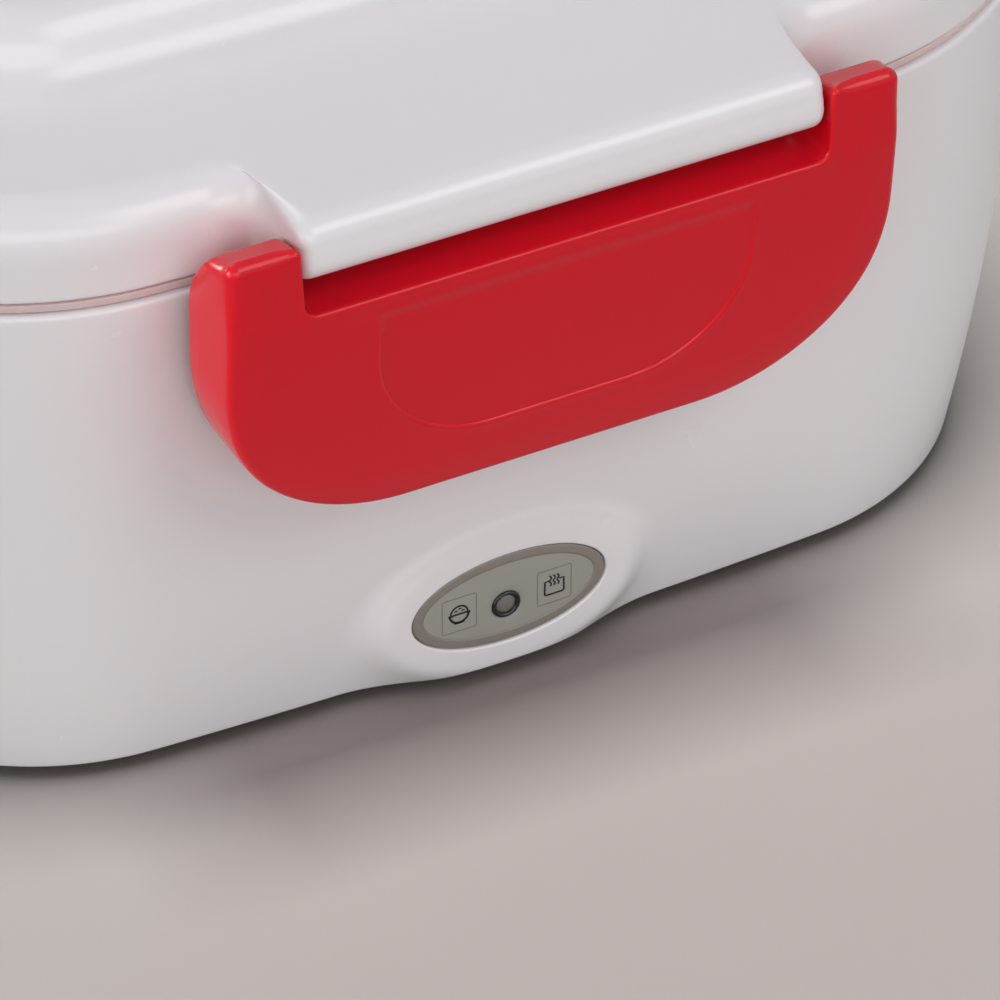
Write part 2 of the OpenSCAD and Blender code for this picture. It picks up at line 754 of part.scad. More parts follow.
module lamp_board() {
    color("seagreen") at_front() difference() {
        union() {
            along_y(board_front, board_back) translate([0, lens_z]) square(board_size, center = true);
            bar_x(board_back + 0.8, lens_z + 3, 0.9, -2.5, 2.5);
        }
        for (s = [-1, 1])
            bar_y(s * stake_x, lens_z, stake_tip_radius + run_gap, board_front - past, board_back + past);
    }
}

// ---- Food containers ----

module food_tray() {
    floor_z = heater_top_z;
    foot = [[tray_at(floor_z) + 4, floor_z], [tray_at(floor_z) + 1, floor_z + 1.5],
            [tray_at(floor_z + 4), floor_z + 4]];
    color("lightgray") {
        loft(concat(foot, [
            [tray_at(tray_rim_z), tray_rim_z - 1],
            [tray_at(tray_rim_z) - 0.5, tray_rim_z],
            [tray_at(tray_rim_z) + tray_wall, tray_rim_z],
            [tray_at(floor_z + 4) + tray_wall, floor_z + 4],
            [tray_at(floor_z) + 1 + tray_wall, floor_z + 1.5 + tray_wall],
            [tray_at(floor_z) + 4 + tray_wall, floor_z + tray_wall]]));
        intersection() {
            loft(concat(foot, [[tray_at(tray_rim_z) + tray_wall / 2, tray_rim_z - 1]]));
            translate([-half_width, divider_y, floor_z]) cube([body_width, tray_wall, tray_height - 5]);
        }
    }
}

cup_y = divider_y + tray_wall + 3 + cup_length / 2;
cup_z = heater_top_z + tray_wall;
cup_corner = 13;
cup_lip = 1.5;
cup_lid_thickness = 1.4;

// Plan of the cup, grown outwards
module cup_plan(grow) {
    polygon(round_box(cup_width + 2 * grow, cup_length + 2 * grow, cup_corner + grow));
}

module side_cup() {
    color("white") translate([0, cup_y, cup_z]) difference() {
        union() {
            linear_extrude(cup_height) cup_plan(0);
            translate([0, 0, cup_height - cup_wall]) linear_extrude(cup_wall) cup_plan(cup_lip);
        }
        translate([0, 0, cup_wall]) linear_extrude(cup_height) cup_plan(-cup_wall);
    }
}

module side_cup_lid() {
    plug = -cup_wall - fit_gap;
    plug_depth = 3;
    plug_wall = 1.5;
    color("firebrick") translate([0, cup_y, cup_z + cup_height]) difference() {
        union() {
            linear_extrude(cup_lid_thickness) cup_plan(cup_lip);
            translate([0, 0, -plug_depth]) linear_extrude(plug_depth) cup_plan(plug);
        }
        translate([0, 0, -plug_depth - past]) linear_extrude(plug_depth + past) cup_plan(plug - plug_wall);
    }
}

// ---- Lid ----

hinge_z = lid_z + hinge_up;
lug_half = latch_notch_width / 2 - loose_gap;
lug_front = hinge_out + 2.6;
lug_nose = 3;
stub_length = 3;
crown_round = 3;
crown_foot = crown_inset - crown_height / 2;
pivot_z = crown_z + handle_eye_radius + 0.8;
arm_inner = handle_half_width - handle_bar;
pivot_width = 4.5;

// Points of the lid's profile, from its lower edge up to its middle;
// inner is 0 outside and 1 on the inner face
function lid_profile(inner) =
    let (t = inner * lid_wall, r = lid_shoulder_radius)
    concat(
        inner == 0 ? [[0.4, lid_z], [0, lid_z + 0.4]] : [[t, lid_z]],
        [for (a = [0, 22.5, 45, 67.5, 90]) [r - (r - t) * cos(a), shoulder_z - r + (r - t) * sin(a)]],
        [[crown_foot - inner * lid_wall / 2, shoulder_z + 0.8 - t],
         [crown_inset - 1 + inner * lid_wall / 2, crown_z - crown_round - t / 2],
         [crown_inset + 0.2 * crown_round + inner * lid_wall / 2, crown_z - 0.3 * crown_round - t],
         [crown_inset + crown_round + inner * lid_wall / 2, crown_z - t]]);

// Pair of bars on a latch's hinge axis, between x0 and x1 on each side
module hinge_bars(r, x0, x1) {
    bar_x(-hinge_out, hinge_z, r, x0, x1);
    bar_x(-hinge_out, hinge_z, r, -x1, -x0);
}

module lid_lug() {
    along_x(lug_half)
        polygon(concat(
            arc([-hinge_out, hinge_z], lug_nose, 270, 180, 6),
            [[-lug_front, hinge_z + 0.8]],
            arc([2 - lug_front, shoulder_z - 2.2], 2, 180, 90, 5),
            [[lid_shoulder_radius, shoulder_z - 0.1], [lid_shoulder_radius, shoulder_z - lid_wall + 0.3],
             [lid_wall - 0.4, lid_z + lid_edge_height], [lid_wall - 0.4, hinge_z - lug_nose]]));
}

module lid_shell() {
    inner = lid_profile(1);
    outer = lid_profile(0);
    color("white") difference() {
        union() {
            loft(concat([for (i = [len(inner) - 1:-1:0]) inner[i]], outer));
            at_front() lid_lug();
            at_rear() lid_lug();
            for (s = [-1, 1])
                translate([s * (arm_inner - loose_gap - pivot_width / 2), 0, 0]) {
                    along_x(pivot_width / 2)
                        polygon(concat(
                            [[handle_eye_radius, crown_z - sink]],
                            arc([0, pivot_z], handle_eye_radius, 0, 180, 12),
                            [[-handle_eye_radius, crown_z - sink]]));
                }
        }
        at_front() hinge_bars(hinge_radius + run_gap, lug_half - stub_length, lug_half + past);
        at_rear() hinge_bars(hinge_radius + run_gap, lug_half - stub_length, lug_half + past);
        bar_x(0, pivot_z, handle_pin_radius + 0.02, -arm_inner, arm_inner);
        translate([0, -vent_y, crown_z - lid_wall - past])
            cylinder(h = lid_wall + 2 * past, r = vent_stem_radius + fit_gap);
    }
}

skirt_inset = bowl_at(rim_z) + bowl_wall + 2.6;
cover_z = lid_z + 1.3;        // underside of the inner cover's flange
cover_top_z = cover_z + lid_cover_wall;

module lid_liner() {
    color("whitesmoke") difference() {
        loft([
            [skirt_inset + lid_cover_wall + 3, cover_top_z],
            [skirt_inset + lid_cover_wall, cover_top_z - 1.5],
            [skirt_inset + lid_cover_wall, cover_z - skirt_depth],
            [skirt_inset, cover_z - skirt_depth],
            [skirt_inset, cover_z],
            [lid_wall + fit_gap, cover_z],
            [lid_wall + fit_gap, cover_top_z],
            [skirt_inset, cover_top_z],
            [skirt_inset + 1, cover_top_z + lid_cover_wall]]);
        translate([0, -vent_y, cover_z]) cylinder(h = 3 * lid_cover_wall, r = vent_stem_radius + 2);
    }
}

module lid_seal() {
    seal_z = rim_z + joint_gap;
    seal_in = bowl_at(rim_z) + bowl_wall + joint_gap;
    color("lavenderblush")
        loft([
            [0.6, seal_z + 0.2],
            [0.6, seal_z + seal_thickness - 0.2],
            [0.8, seal_z + seal_thickness],
            [lid_wall + joint_gap, seal_z + seal_thickness],
            [lid_wall + joint_gap, cover_z],
            [skirt_inset - 0.02, cover_z],
            [skirt_inset - 0.02, cover_z - skirt_depth + 1],
            [skirt_inset - 0.9, cover_z - skirt_depth + 1],
            [seal_in, rim_z - 1.5],
            [seal_in, seal_z],
            [0.8, seal_z]], joined = true);
}

module vent_plug() {
    barb = 0.8;
    barb_z = crown_z - lid_wall - vent_travel - joint_gap;
    color("firebrick") translate([0, -vent_y, 0])
        rotate_extrude()
            polygon([[0, barb_z - 3], [vent_stem_radius * 0.6, barb_z - 3], [vent_stem_radius + barb, barb_z],
                     [vent_stem_radius, barb_z], [vent_stem_radius, crown_z], [vent_knob_radius, crown_z],
                     [vent_knob_radius, crown_z + vent_knob_height - 1.2],
                     [vent_knob_radius - 1.2, crown_z + vent_knob_height],
                     [vent_knob_radius * 0.45, crown_z + vent_knob_height],
                     [vent_knob_radius * 0.3, crown_z + vent_knob_height - 0.8],
                     [0, crown_z + vent_knob_height - 0.8]]);
}

// ---- Handle ----

// Plan of a bail from its ends at end_y; half wide to each side, with its far bar at reach
module bail_plan(half, reach, corner, end_y) {
    polygon(concat(
        [[half, end_y]],
        arc([half - corner, reach - corner], corner, 0, 90),
        arc([corner - half, reach - corner], corner, 90, 180),
        [[-half, end_y]]));
}

module handle() {
    bottom = pivot_z - handle_thickness / 2;
    inner_corner = handle_corner - handle_bar / 2;
    color("firebrick") difference() {
        union() {
            translate([0, 0, bottom])
                linear_extrude(handle_thickness)
                    difference() {
                        bail_plan(handle_half_width, handle_reach, handle_corner, 0);
                        bail_plan(arm_inner, handle_reach - handle_bar, inner_corner, -past);
                    }
            bar_x(0, pivot_z, handle_eye_radius, arm_inner, handle_half_width);
            bar_x(0, pivot_z, handle_eye_radius, -handle_half_width, -arm_inner);
        }
        bar_x(0, pivot_z, handle_pin_radius + run_gap, -handle_half_width - past, handle_half_width + past);
    }
}

module handle_pins() {
    inner_end = arm_inner - loose_gap - pivot_width;
    color("silver") {
        bar_x(0, pivot_z, handle_pin_radius, inner_end, handle_half_width - 0.5);
        bar_x(0, pivot_z, handle_pin_radius, 0.5 - handle_half_width, -inner_end);
    }
}

// ---- Latches ----

latch_half = latch_width / 2;
notch_half = latch_notch_width / 2;
crest_z = rim_z + 1.7;
ear_top_z = hinge_z + 2.8;
ear_back = hinge_out - 2.6;
latch_gap = 2;                // between the latch's edge and the body
ear_corner = 3.4;
recess_top_z = crest_z - 2.5;
recess_bottom_z = crest_z - 24;
recess_corner = 15;
rib_half = 13;

// Distance of the latch's face from the rim at height z
function face_at(z) =
    let (t = max(crest_z - z, 0) / (crest_z - latch_bottom_z))
    latch_stand_off - latch_lean * (0.55 * t + 0.45 * t * t);

// Distance of the latch's back edge from the rim at height z, measured inwards
function back_at(z) = lean(min(z, rim_z)) - latch_gap;

face_steps = [0, 0.15, 0.3, 0.45, 0.6, 0.75, 0.9, 1];

// Side view of a latch, [y, z], with its ears
latch_side = concat(
    [for (s = face_steps)
        let (z = latch_bottom_z + s * (crest_z - latch_bottom_z)) [-face_at(z), z]],
    [[-latch_stand_off, ear_top_z - 1.5], [1.2 - latch_stand_off, ear_top_z],
     [-ear_back - 1, ear_top_z - 1.2], [-ear_back, ear_top_z - 2.4], [-latch_gap + 0.2, lid_z - 0.2]],
    [for (s = [1, 0.75, 0.5, 0.25, 0])
        let (z = latch_bottom_z + s * (rim_z - latch_bottom_z)) [back_at(z), z]]);

// Two lower corners of a shape that is w wide and stands on z, rounded with radius r less t
function lower_corners(w, z, r, t = 0, steps = 12) = concat(
    arc([r - w / 2, z + r], r - t, 180, 270, steps),
    arc([w / 2 - r, z + r], r - t, 270, 360, steps));

// Front view of a latch, [x, z]
latch_front_view = concat(
    lower_corners(latch_width, latch_bottom_z, latch_corner_radius),
    arc([latch_half - ear_corner, ear_top_z - ear_corner], ear_corner, 0, 90, 6),
    arc([ear_corner - latch_half, ear_top_z - ear_corner], ear_corner, 90, 180, 6));

// Points at a depth behind the latch's face, [y, z], from height z0 to z1
function face_line(depth, z0, z1) = [
    for (s = face_steps)
        let (z = z0 + s * (z1 - z0))
        [depth - face_at(z), z]
];

// Plain recess in the face
module latch_recess() {
    intersection() {
        along_x(recess_width / 2)
            polygon(concat(face_line(recess_depth, recess_bottom_z, crest_z),
                [[-half_width, crest_z], [-half_width, recess_bottom_z]]));
        along_y(-half_width, 0)
            polygon(concat(
                lower_corners(recess_width, recess_bottom_z, recess_corner, steps = 10),
                [[recess_width / 2, recess_top_z], [-recess_width / 2, recess_top_z]]));
    }
}

// Space behind the face, less the rib that snaps under the body's catch
module latch_hollow() {
    top = crest_z - latch_wall;
    rib_z = catch_z - 0.5;
    rib_back = -catch_reach - joint_gap;
    side = latch_half - latch_wall;
    difference() {
        intersection() {
            along_x(side)
                polygon(concat(face_line(latch_wall, latch_bottom_z - past, top),
                    [[half_width, top], [half_width, latch_bottom_z - past]]));
            along_y(-latch_stand_off, half_width)
                polygon(concat(
                    lower_corners(latch_width, latch_bottom_z, latch_corner_radius, latch_wall),
                    [[side, top], [-side, top]]));
        }
        along_x(rib_half)
            polygon([[-latch_stand_off, rib_z], [rib_back, rib_z - 0.6], [rib_back, rib_z - 1.6],
                     [-latch_stand_off, rib_z - 3]]);
    }
}

module latch() {
    notch_round = 2;
    difference() {
        intersection() {
            along_x(latch_half) polygon(latch_side);
            along_y(-latch_stand_off - past, half_width) polygon(latch_front_view);
        }
        along_y(-latch_stand_off - past, half_width)
            polygon(concat(
                [[-notch_half, ear_top_z + past]],
                lower_corners(latch_notch_width, crest_z, notch_round, steps = 4),
                [[notch_half, ear_top_z + past]]));
        latch_hollow();
        latch_recess();
    }
    hinge_bars(hinge_radius, lug_half - stub_length + joint_gap, notch_half + past);
}

module latch_front() { color("firebrick") at_front() latch(); }
module latch_rear() { color("firebrick") at_rear() latch(); }

outer_shell();
inner_liner();
base_plate();
rubber_feet();
base_screws();
heating_plate();
plate_gasket();
ptc_heater();
heater_clamp();
clamp_screws();
thermal_cutout();
power_inlet();
inlet_pins();
live_wire();
link_wire();
neutral_wire();
lamp_wires();
lamp_plate();
lamp_ring();
lamp_lens();
indicator_led();
lamp_board();
food_tray();
side_cup();
side_cup_lid();
lid_shell();
lid_liner();
lid_seal();
vent_plug();
handle();
handle_pins();
latch_front();
latch_rear();
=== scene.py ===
import math

import bmesh
import bpy
import numpy as np
from mathutils import Matrix, Vector
from mathutils.geometry import delaunay_2d_cdt

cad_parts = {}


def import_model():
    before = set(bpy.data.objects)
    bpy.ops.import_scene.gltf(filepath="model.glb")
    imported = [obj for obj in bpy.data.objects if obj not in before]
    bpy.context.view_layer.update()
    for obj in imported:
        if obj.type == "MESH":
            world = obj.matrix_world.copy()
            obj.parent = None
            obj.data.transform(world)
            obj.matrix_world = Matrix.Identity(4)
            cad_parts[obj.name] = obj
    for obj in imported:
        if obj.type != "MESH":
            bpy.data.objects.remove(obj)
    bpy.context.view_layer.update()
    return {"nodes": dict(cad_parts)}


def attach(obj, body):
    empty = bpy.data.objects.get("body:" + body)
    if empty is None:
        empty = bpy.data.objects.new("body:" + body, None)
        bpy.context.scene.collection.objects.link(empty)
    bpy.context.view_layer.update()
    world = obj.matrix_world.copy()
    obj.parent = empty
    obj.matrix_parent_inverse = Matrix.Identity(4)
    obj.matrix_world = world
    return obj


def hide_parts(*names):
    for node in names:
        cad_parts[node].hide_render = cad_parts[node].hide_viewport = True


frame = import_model()
MM = 0.001

# ---- Sizes, as in the part's source ----
HALF_W, HALF_L = 84.5, 107.2
END_R, SIDE_R, CORNER_R = 854.0, 2400.0, 40.9
SHELL_Z, RIM_Z, LEDGE_Z, LID_Z = 1.5, 71.4, 69.3, 73.3
FOOT_INSET, SHELL_WALL = 6.4, 2.2
LID_EDGE, SHOULDER_R, SHOULDER_Z, CROWN_Z = 5.4, 5.8, 84.5, 92.5
HINGE_OUT, HINGE_Z, PIVOT_Z = 8.4, 79.6, 99.3
LATCH_W, LATCH_BOTTOM, LATCH_CORNER, NOTCH_W = 84.6, 40.6, 23.8, 65.8
CREST_Z, EAR_TOP, LATCH_OUT, LATCH_LEAN, LATCH_WALL = 73.1, 82.4, 11.8, 4.0, 2.4
LAMP_W, LAMP_H, LAMP_Z, LAMP_FACE = 25.5, 12.9, 11.3, 3.2
POCKET_DEPTH, INLET_Z = 1.2, 14.5
BOWL_LOW, BOWL_FLOOR, BOWL_WALL = 24.0, 26.0, 2.0
TRAY_FLOOR, TRAY_RIM, TRAY_WALL, TRAY_GAP = 29.5, 63.5, 0.8, 3.0
DIVIDER_Y, DIVIDER_TOP = 24.0, 58.5
CUP_W, CUP_L, CUP_H, CUP_CORNER, CUP_GAP, CUP_Z = 112, 56, 26, 13, 3, 30.3
CUP_Y = DIVIDER_Y + TRAY_WALL + CUP_GAP + CUP_L / 2
SKIRT_GAP, SEAL_LOW, SEAL_TOP = 2.6, 71.7, 74.6

# ---- Sizes that only these looks have ----
LENS_X, LENS_Z = -0.35, 10.2
LAMP_GAP, PLATE_BACK, LABEL_BACK = 0.12, 0.12, 0.14
INLET_HALF_W, INLET_HALF_H = 11.3, 6.3
LUG_HALF, EAR_EDGE = 32.65, 1.3


# ---- Outline in plan ----
def tangent_centres():
    end_c = np.array([0, END_R - HALF_L])
    side_c = np.array([HALF_W - SIDE_R, 0.0])
    a, b = END_R - CORNER_R, SIDE_R - CORNER_R
    gap = np.linalg.norm(side_c - end_c)
    along = (a * a - b * b + gap * gap) / (2 * gap)
    across = math.sqrt(a * a - along * along)
    t = (side_c - end_c) / gap
    corner = end_c + along * t + across * np.array([-t[1], t[0]])
    end_a = math.atan2(corner[0] - end_c[0], end_c[1] - corner[1])
    side_a = math.atan2(corner[0] - side_c[0], side_c[1] - corner[1])
    return end_c, side_c, corner, end_a, side_a


END_C, SIDE_C, CORNER_C, END_A, SIDE_A = tangent_centres()


def quarter_angles(front_x, corners=44, sides=10):
    """Angles of the outline's points from the middle of the front to the middle of the right side."""
    front = [math.asin(x / (END_R - 3)) for x in front_x]
    front = [a for a in front if a < END_A - 1e-4]
    corner = list(np.linspace(END_A, SIDE_A, corners + 1)[:-1])
    side = list(np.linspace(SIDE_A, math.pi / 2, sides + 1))
    return np.array(front + corner + side)


def quarter(angles, inset):
    d = np.stack([np.sin(angles), -np.cos(angles)], 1)
    r = np.where(angles < END_A, END_R, np.where(angles > SIDE_A, SIDE_R, CORNER_R)) - inset
    c = np.where((angles < END_A)[:, None], END_C, np.where((angles > SIDE_A)[:, None], SIDE_C, CORNER_C))
    return c + r[:, None] * d


def all_round(q):
    """The closed outline from the points of its front right quarter."""
    m = q[1:][::-1]
    return np.concatenate([q[:-1], m * [1, -1], q[:-1] * [-1, -1], m * [-1, 1]])


def front_wall(x, inset):
    """y of the front wall, measured from the rim's middle."""
    return END_R - np.sqrt((END_R - inset) ** 2 - x * x)


def lean(z):
    return FOOT_INSET * ((RIM_Z - z) / (RIM_Z - SHELL_Z)) ** 2


# ---- Mesh helpers ----
def obj(name, verts, faces, material, body, slot, replaced=(), sharp=35, mats=None, face_mats=None):
    mesh = bpy.data.meshes.new(name)
    mesh.from_pydata((np.asarray(verts, float) * MM).tolist(), [], [list(map(int, f)) for f in faces])
    mesh.validate()
    for m in mats or [material]:
        mesh.materials.append(m)
    if face_mats is not None:
        mesh.polygons.foreach_set("material_index", face_mats)
    mesh.polygons.foreach_set("use_smooth", [True] * len(mesh.polygons))
    o = bpy.data.objects.new(name, mesh)
    bpy.context.scene.collection.objects.link(o)
    bm = bmesh.new()
    bm.from_mesh(mesh)
    bmesh.ops.remove_doubles(bm, verts=bm.verts, dist=1e-7)
    bmesh.ops.recalc_face_normals(bm, faces=bm.faces)
    bm.to_mesh(mesh)
    bm.free()
    mesh.set_sharp_from_angle(angle=math.radians(sharp))
    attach(o, body)
    if replaced:
        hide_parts(*replaced)
    return o


class Build:
    """Collects vertices and faces, in millimetres."""

    def __init__(self):
        self.v, self.f, self.m = [], [], []
        self.mat = 0

    def add(self, verts, faces):
        k = len(self.v)
        self.v.extend(map(tuple, verts))
        self.f.extend([[k + i for i in f] for f in faces])
        self.m.extend([self.mat] * len(faces))
        return k

    def grid(self, rows, closed=False, joined=False, keep=None, cap_low=False, cap_high=False):
        """Quads through rows of points. closed joins each row's ends, joined the last row to the first."""
        n, m = len(rows), len(rows[0])
        faces = []
        for k in range(n if joined else n - 1):
            low, high = k * m, (k + 1) % n * m
            for i in range(m if closed else m - 1):
                j = (i + 1) % m
                if keep is None or keep[k, i]:
                    faces.append([low + i, low + j, high + j, high + i])
        if cap_low:
            faces.append(list(range(m))[::-1])
        if cap_high:
            faces.append([(n - 1) * m + i for i in range(m)])
        return self.add(np.concatenate(rows), faces)

    def strip(self, low, high):
        """Quads between two closed rows of vertices that are already there."""
        for i in range(len(low)):
            j = (i + 1) % len(low)
            self.f.append([low[i], low[j], high[j], high[i]])
            self.m.append(self.mat)

    def move(self, fn, start=0):
        for i in range(start, len(self.v)):
            self.v[i] = tuple(fn(self.v[i]))

    def end(self, name, material, body, slot, **kw):
        return obj(name, self.v, self.f, material, body, slot, face_mats=self.m, **kw)


def arc(c, r, a, b, n):
    t = np.radians(np.linspace(a, b, n + 1))
    return np.stack([c[0] + r * np.cos(t), c[1] + r * np.sin(t)], 1)


def dense(points, step):
    """A closed polyline with more points on its long edges."""
    out = []
    for p, q in zip(points, np.roll(points, -1, 0)):
        n = max(1, int(math.ceil(np.linalg.norm(q - p) / step)))
        out.extend(p + (q - p) * k / n for k in range(n) if np.linalg.norm(q - p) > 1e-6)
    return np.array(out)


def box_loop(w, h, r, n=10, c=(0, 0)):
    q = [arc((sx * (w / 2 - r), sy * (h / 2 - r)), r, a, a + 90, n)
         for sx, sy, a in ((1, 1, 0), (-1, 1, 90), (-1, -1, 180), (1, -1, 270))]
    return np.concatenate(q) + c


def ellipse(a, b, n=128, c=(0, 0)):
    t = np.arange(n) * 2 * math.pi / n
    return np.stack([c[0] + a * np.cos(t), c[1] + b * np.sin(t)], 1)


def inside(loop, p):
    hit = np.zeros(len(p), bool)
    for (x0, y0), (x1, y1) in zip(loop, np.roll(loop, -1, 0)):
        if y0 != y1:
            crossing = (x1 - x0) * (p[:, 1] - y0) / (y1 - y0) + x0
            hit ^= ((y0 > p[:, 1]) != (y1 > p[:, 1])) & (p[:, 0] < crossing)
    return hit


def nearest(p, q):
    out = np.empty(len(p))
    for k in range(0, len(p), 2000):
        out[k:k + 2000] = np.sqrt(((p[k:k + 2000, None] - q[None]) ** 2).sum(2).min(1))
    return out


def inward(loop):
    """Left-hand normals of a closed loop."""
    t = np.roll(loop, -1, 0) - np.roll(loop, 1, 0)
    t /= np.linalg.norm(t, axis=1)[:, None]
    return np.stack([-t[:, 1], t[:, 0]], 1)


def spread(loop, step):
    """A square grid of points over a loop's box, slightly bent to make its triangulation definite."""
    lo, hi = loop.min(0), loop.max(0)
    gx, gy = np.meshgrid(np.arange(lo[0] + step / 2, hi[0], step), np.arange(lo[1] + step / 2, hi[1], step))
    return np.stack([gx.ravel() + 0.01 * np.sin(gy.ravel()), gy.ravel()], 1)


def sheet(loops, offsets, step, features=(), feature_offsets=(0,)):
    """Triangles over the inside of loops[0] (counter-clockwise) less the other loops (clockwise).
    Returns points, their distance from the border, triangles, and for each loop the indices of its points."""
    border = np.concatenate(loops)

    def within(p):
        ok = inside(loops[0], p)
        for hole in loops[1:]:
            ok &= ~inside(hole, p)
        return ok

    pts, dist, edges, count = [], [], [], 0
    for loop in loops:
        n = len(loop)
        pts.append(loop)
        dist.append(np.zeros(n))
        edges += [(count + i, count + (i + 1) % n) for i in range(n)]
        count += n
    for d in offsets:
        for loop in loops:
            p = loop + d * inward(loop)
            p = p[within(p) & (nearest(p, border) > d * 0.97)]
            pts.append(p)
            dist.append(np.full(len(p), d))
    reach = max(offsets)
    lines = []
    for loop in features:
        for d in feature_offsets:
            p = loop + d * inward(loop)
            q = nearest(p, border)
            pts.append(p[q > reach])
            dist.append(q[q > reach])
            lines.append(p[q > reach])
    g = spread(loops[0], step)
    g = g[within(g)]
    q = nearest(g, border)
    ok = q > reach + 0.5 * step
    if lines:
        ok &= nearest(g, np.concatenate(lines)) > 0.5 * step
    pts = np.concatenate(pts + [g[ok]])
    dist = np.concatenate(dist + [q[ok]])
    v, _, f, origins, _, _ = delaunay_2d_cdt([Vector(p) for p in pts], edges, [], 0, 1e-7)
    v = np.array([tuple(p) for p in v])
    d = np.array([dist[o[0]] if o else 0 for o in origins])
    f = np.array(f)
    f = f[within(v[f].mean(1))]
    place = {i: k for k, o in enumerate(origins) for i in o}
    rings, at = [], 0
    for loop in loops:
        rings.append([place[at + i] for i in range(len(loop))])
        at += len(loop)
    return v, d, f.tolist(), rings


def rounding(d, r):
    e = np.clip(r - d, 0, r)
    return r - np.sqrt(np.maximum(r * r - e * e, 0))


def edge_steps(r, n=6):
    t = np.radians(np.linspace(0, 90, n + 1))
    return list(r * (1 - np.cos(t)))[1:]


def smin(a, b, k):
    h = np.maximum(k - np.abs(a - b), 0) / k
    return np.minimum(a, b) - h * h * k / 4


def smooth_line(points, steps):
    """Catmull-Rom curve through points."""
    p = np.array(points, float)
    out = []
    for i in range(len(p) - 1):
        a, b, c, d = p[max(i - 1, 0)], p[i], p[i + 1], p[min(i + 2, len(p) - 1)]
        for t in np.arange(steps) / steps:
            out.append(0.5 * (2 * b + t * (c - a) + t * t * (2 * a - 5 * b + 4 * c - d)
                              + t ** 3 * (3 * b - a - 3 * c + d)))
    out.append(p[-1])
    return np.array(out)


def lathe(b, profile, centre, axis, n=64):
    """Turns [radius, height] points about a line through centre along axis."""
    z = Vector(axis).normalized()
    x = z.orthogonal().normalized()
    y = z.cross(x)
    ring = [x * math.cos(a) + y * math.sin(a) for a in np.arange(n) * 2 * math.pi / n]
    rows = [np.array([tuple(Vector(centre) + z * h + d * max(r, 1e-4)) for d in ring]) for r, h in profile]
    b.grid(rows, closed=True, cap_low=profile[0][0] > 1e-3, cap_high=profile[-1][0] > 1e-3)


def prism(b, loop, lo, hi, bevel=0.4, segments=3):
    """Extrudes a loop of [y, z] points along x and rounds its edges."""
    bm = bmesh.new()
    n = len(loop)
    ends = [[bm.verts.new((x, y, z)) for y, z in loop] for x in (lo, hi)]
    bm.faces.new(ends[0])
    bm.faces.new(ends[1][::-1])
    for i in range(n):
        j = (i + 1) % n
        bm.faces.new([ends[0][i], ends[1][i], ends[1][j], ends[0][j]])
    bmesh.ops.recalc_face_normals(bm, faces=bm.faces)
    edges = [e for e in bm.edges if e.calc_face_angle(0) > math.radians(30)]
    bmesh.ops.bevel(bm, geom=edges, offset=bevel, segments=segments, profile=0.5, affect="EDGES",
                    clamp_overlap=True)
    bm.verts.index_update()
    b.add([tuple(v.co) for v in bm.verts], [[v.index for v in f.verts] for f in bm.faces])
    bm.free()


# ---- Materials ----
def linear(r, g, b):
    """Linear colour of an sRGB colour given in 0 to 255."""
    def one(c):
        c /= 255
        return c / 12.92 if c <= 0.04045 else ((c + 0.055) / 1.055) ** 2.4
    return (one(r), one(g), one(b), 1)


def surface(name, rgb, rough, vary=0.03, tone=30, grain=700, bump=0.01, rough_vary=0.04, scratches=0.0,
            **sockets):
    """A material with drifting tone, uneven roughness and a fine grain."""
    m = bpy.data.materials.new(name)
    m.use_nodes = True
    nt = m.node_tree
    shader = nt.nodes["Principled BSDF"]
    new, link = nt.nodes.new, nt.links.new
    where = new("ShaderNodeTexCoord").outputs["Object"]

    def noise(scale, detail=3.0):
        n = new("ShaderNodeTexNoise")
        n.inputs["Scale"].default_value = scale
        n.inputs["Detail"].default_value = detail
        link(where, n.inputs["Vector"])
        return n.outputs["Fac"]

    base = linear(*rgb)
    mix = new("ShaderNodeMix")
    mix.data_type = "RGBA"
    link(noise(tone, 4), mix.inputs["Factor"])
    mix.inputs["A"].default_value = [c * (1 - vary) for c in base[:3]] + [1]
    mix.inputs["B"].default_value = [min(c * (1 + vary), 1) for c in base[:3]] + [1]
    link(mix.outputs["Result"], shader.inputs["Base Color"])
    spread = new("ShaderNodeMapRange")
    spread.inputs["To Min"].default_value = max(rough - rough_vary, 0.02)
    spread.inputs["To Max"].default_value = rough + rough_vary
    link(noise(tone * 5, 5), spread.inputs["Value"])
    link(spread.outputs["Result"], shader.inputs["Roughness"])
    height = noise(grain, 2)
    if scratches:
        stretch = new("ShaderNodeMapping")
        stretch.inputs["Scale"].default_value = (40, 900, 40)
        link(where, stretch.inputs["Vector"])
        lines = new("ShaderNodeTexNoise")
        lines.inputs["Scale"].default_value = 3
        link(stretch.outputs["Vector"], lines.inputs["Vector"])
        add = new("ShaderNodeMath")
        add.operation = "MULTIPLY_ADD"
        add.inputs[1].default_value = scratches
        link(lines.outputs["Fac"], add.inputs[0])
        link(height, add.inputs[2])
        height = add.outputs["Value"]
    bumps = new("ShaderNodeBump")
    bumps.inputs["Strength"].default_value = 0.5
    bumps.inputs["Distance"].default_value = bump * MM
    link(height, bumps.inputs["Height"])
    link(bumps.outputs["Normal"], shader.inputs["Normal"])
    for key, value in sockets.items():
        shader.inputs[key.replace("_", " ")].default_value = value
    return m


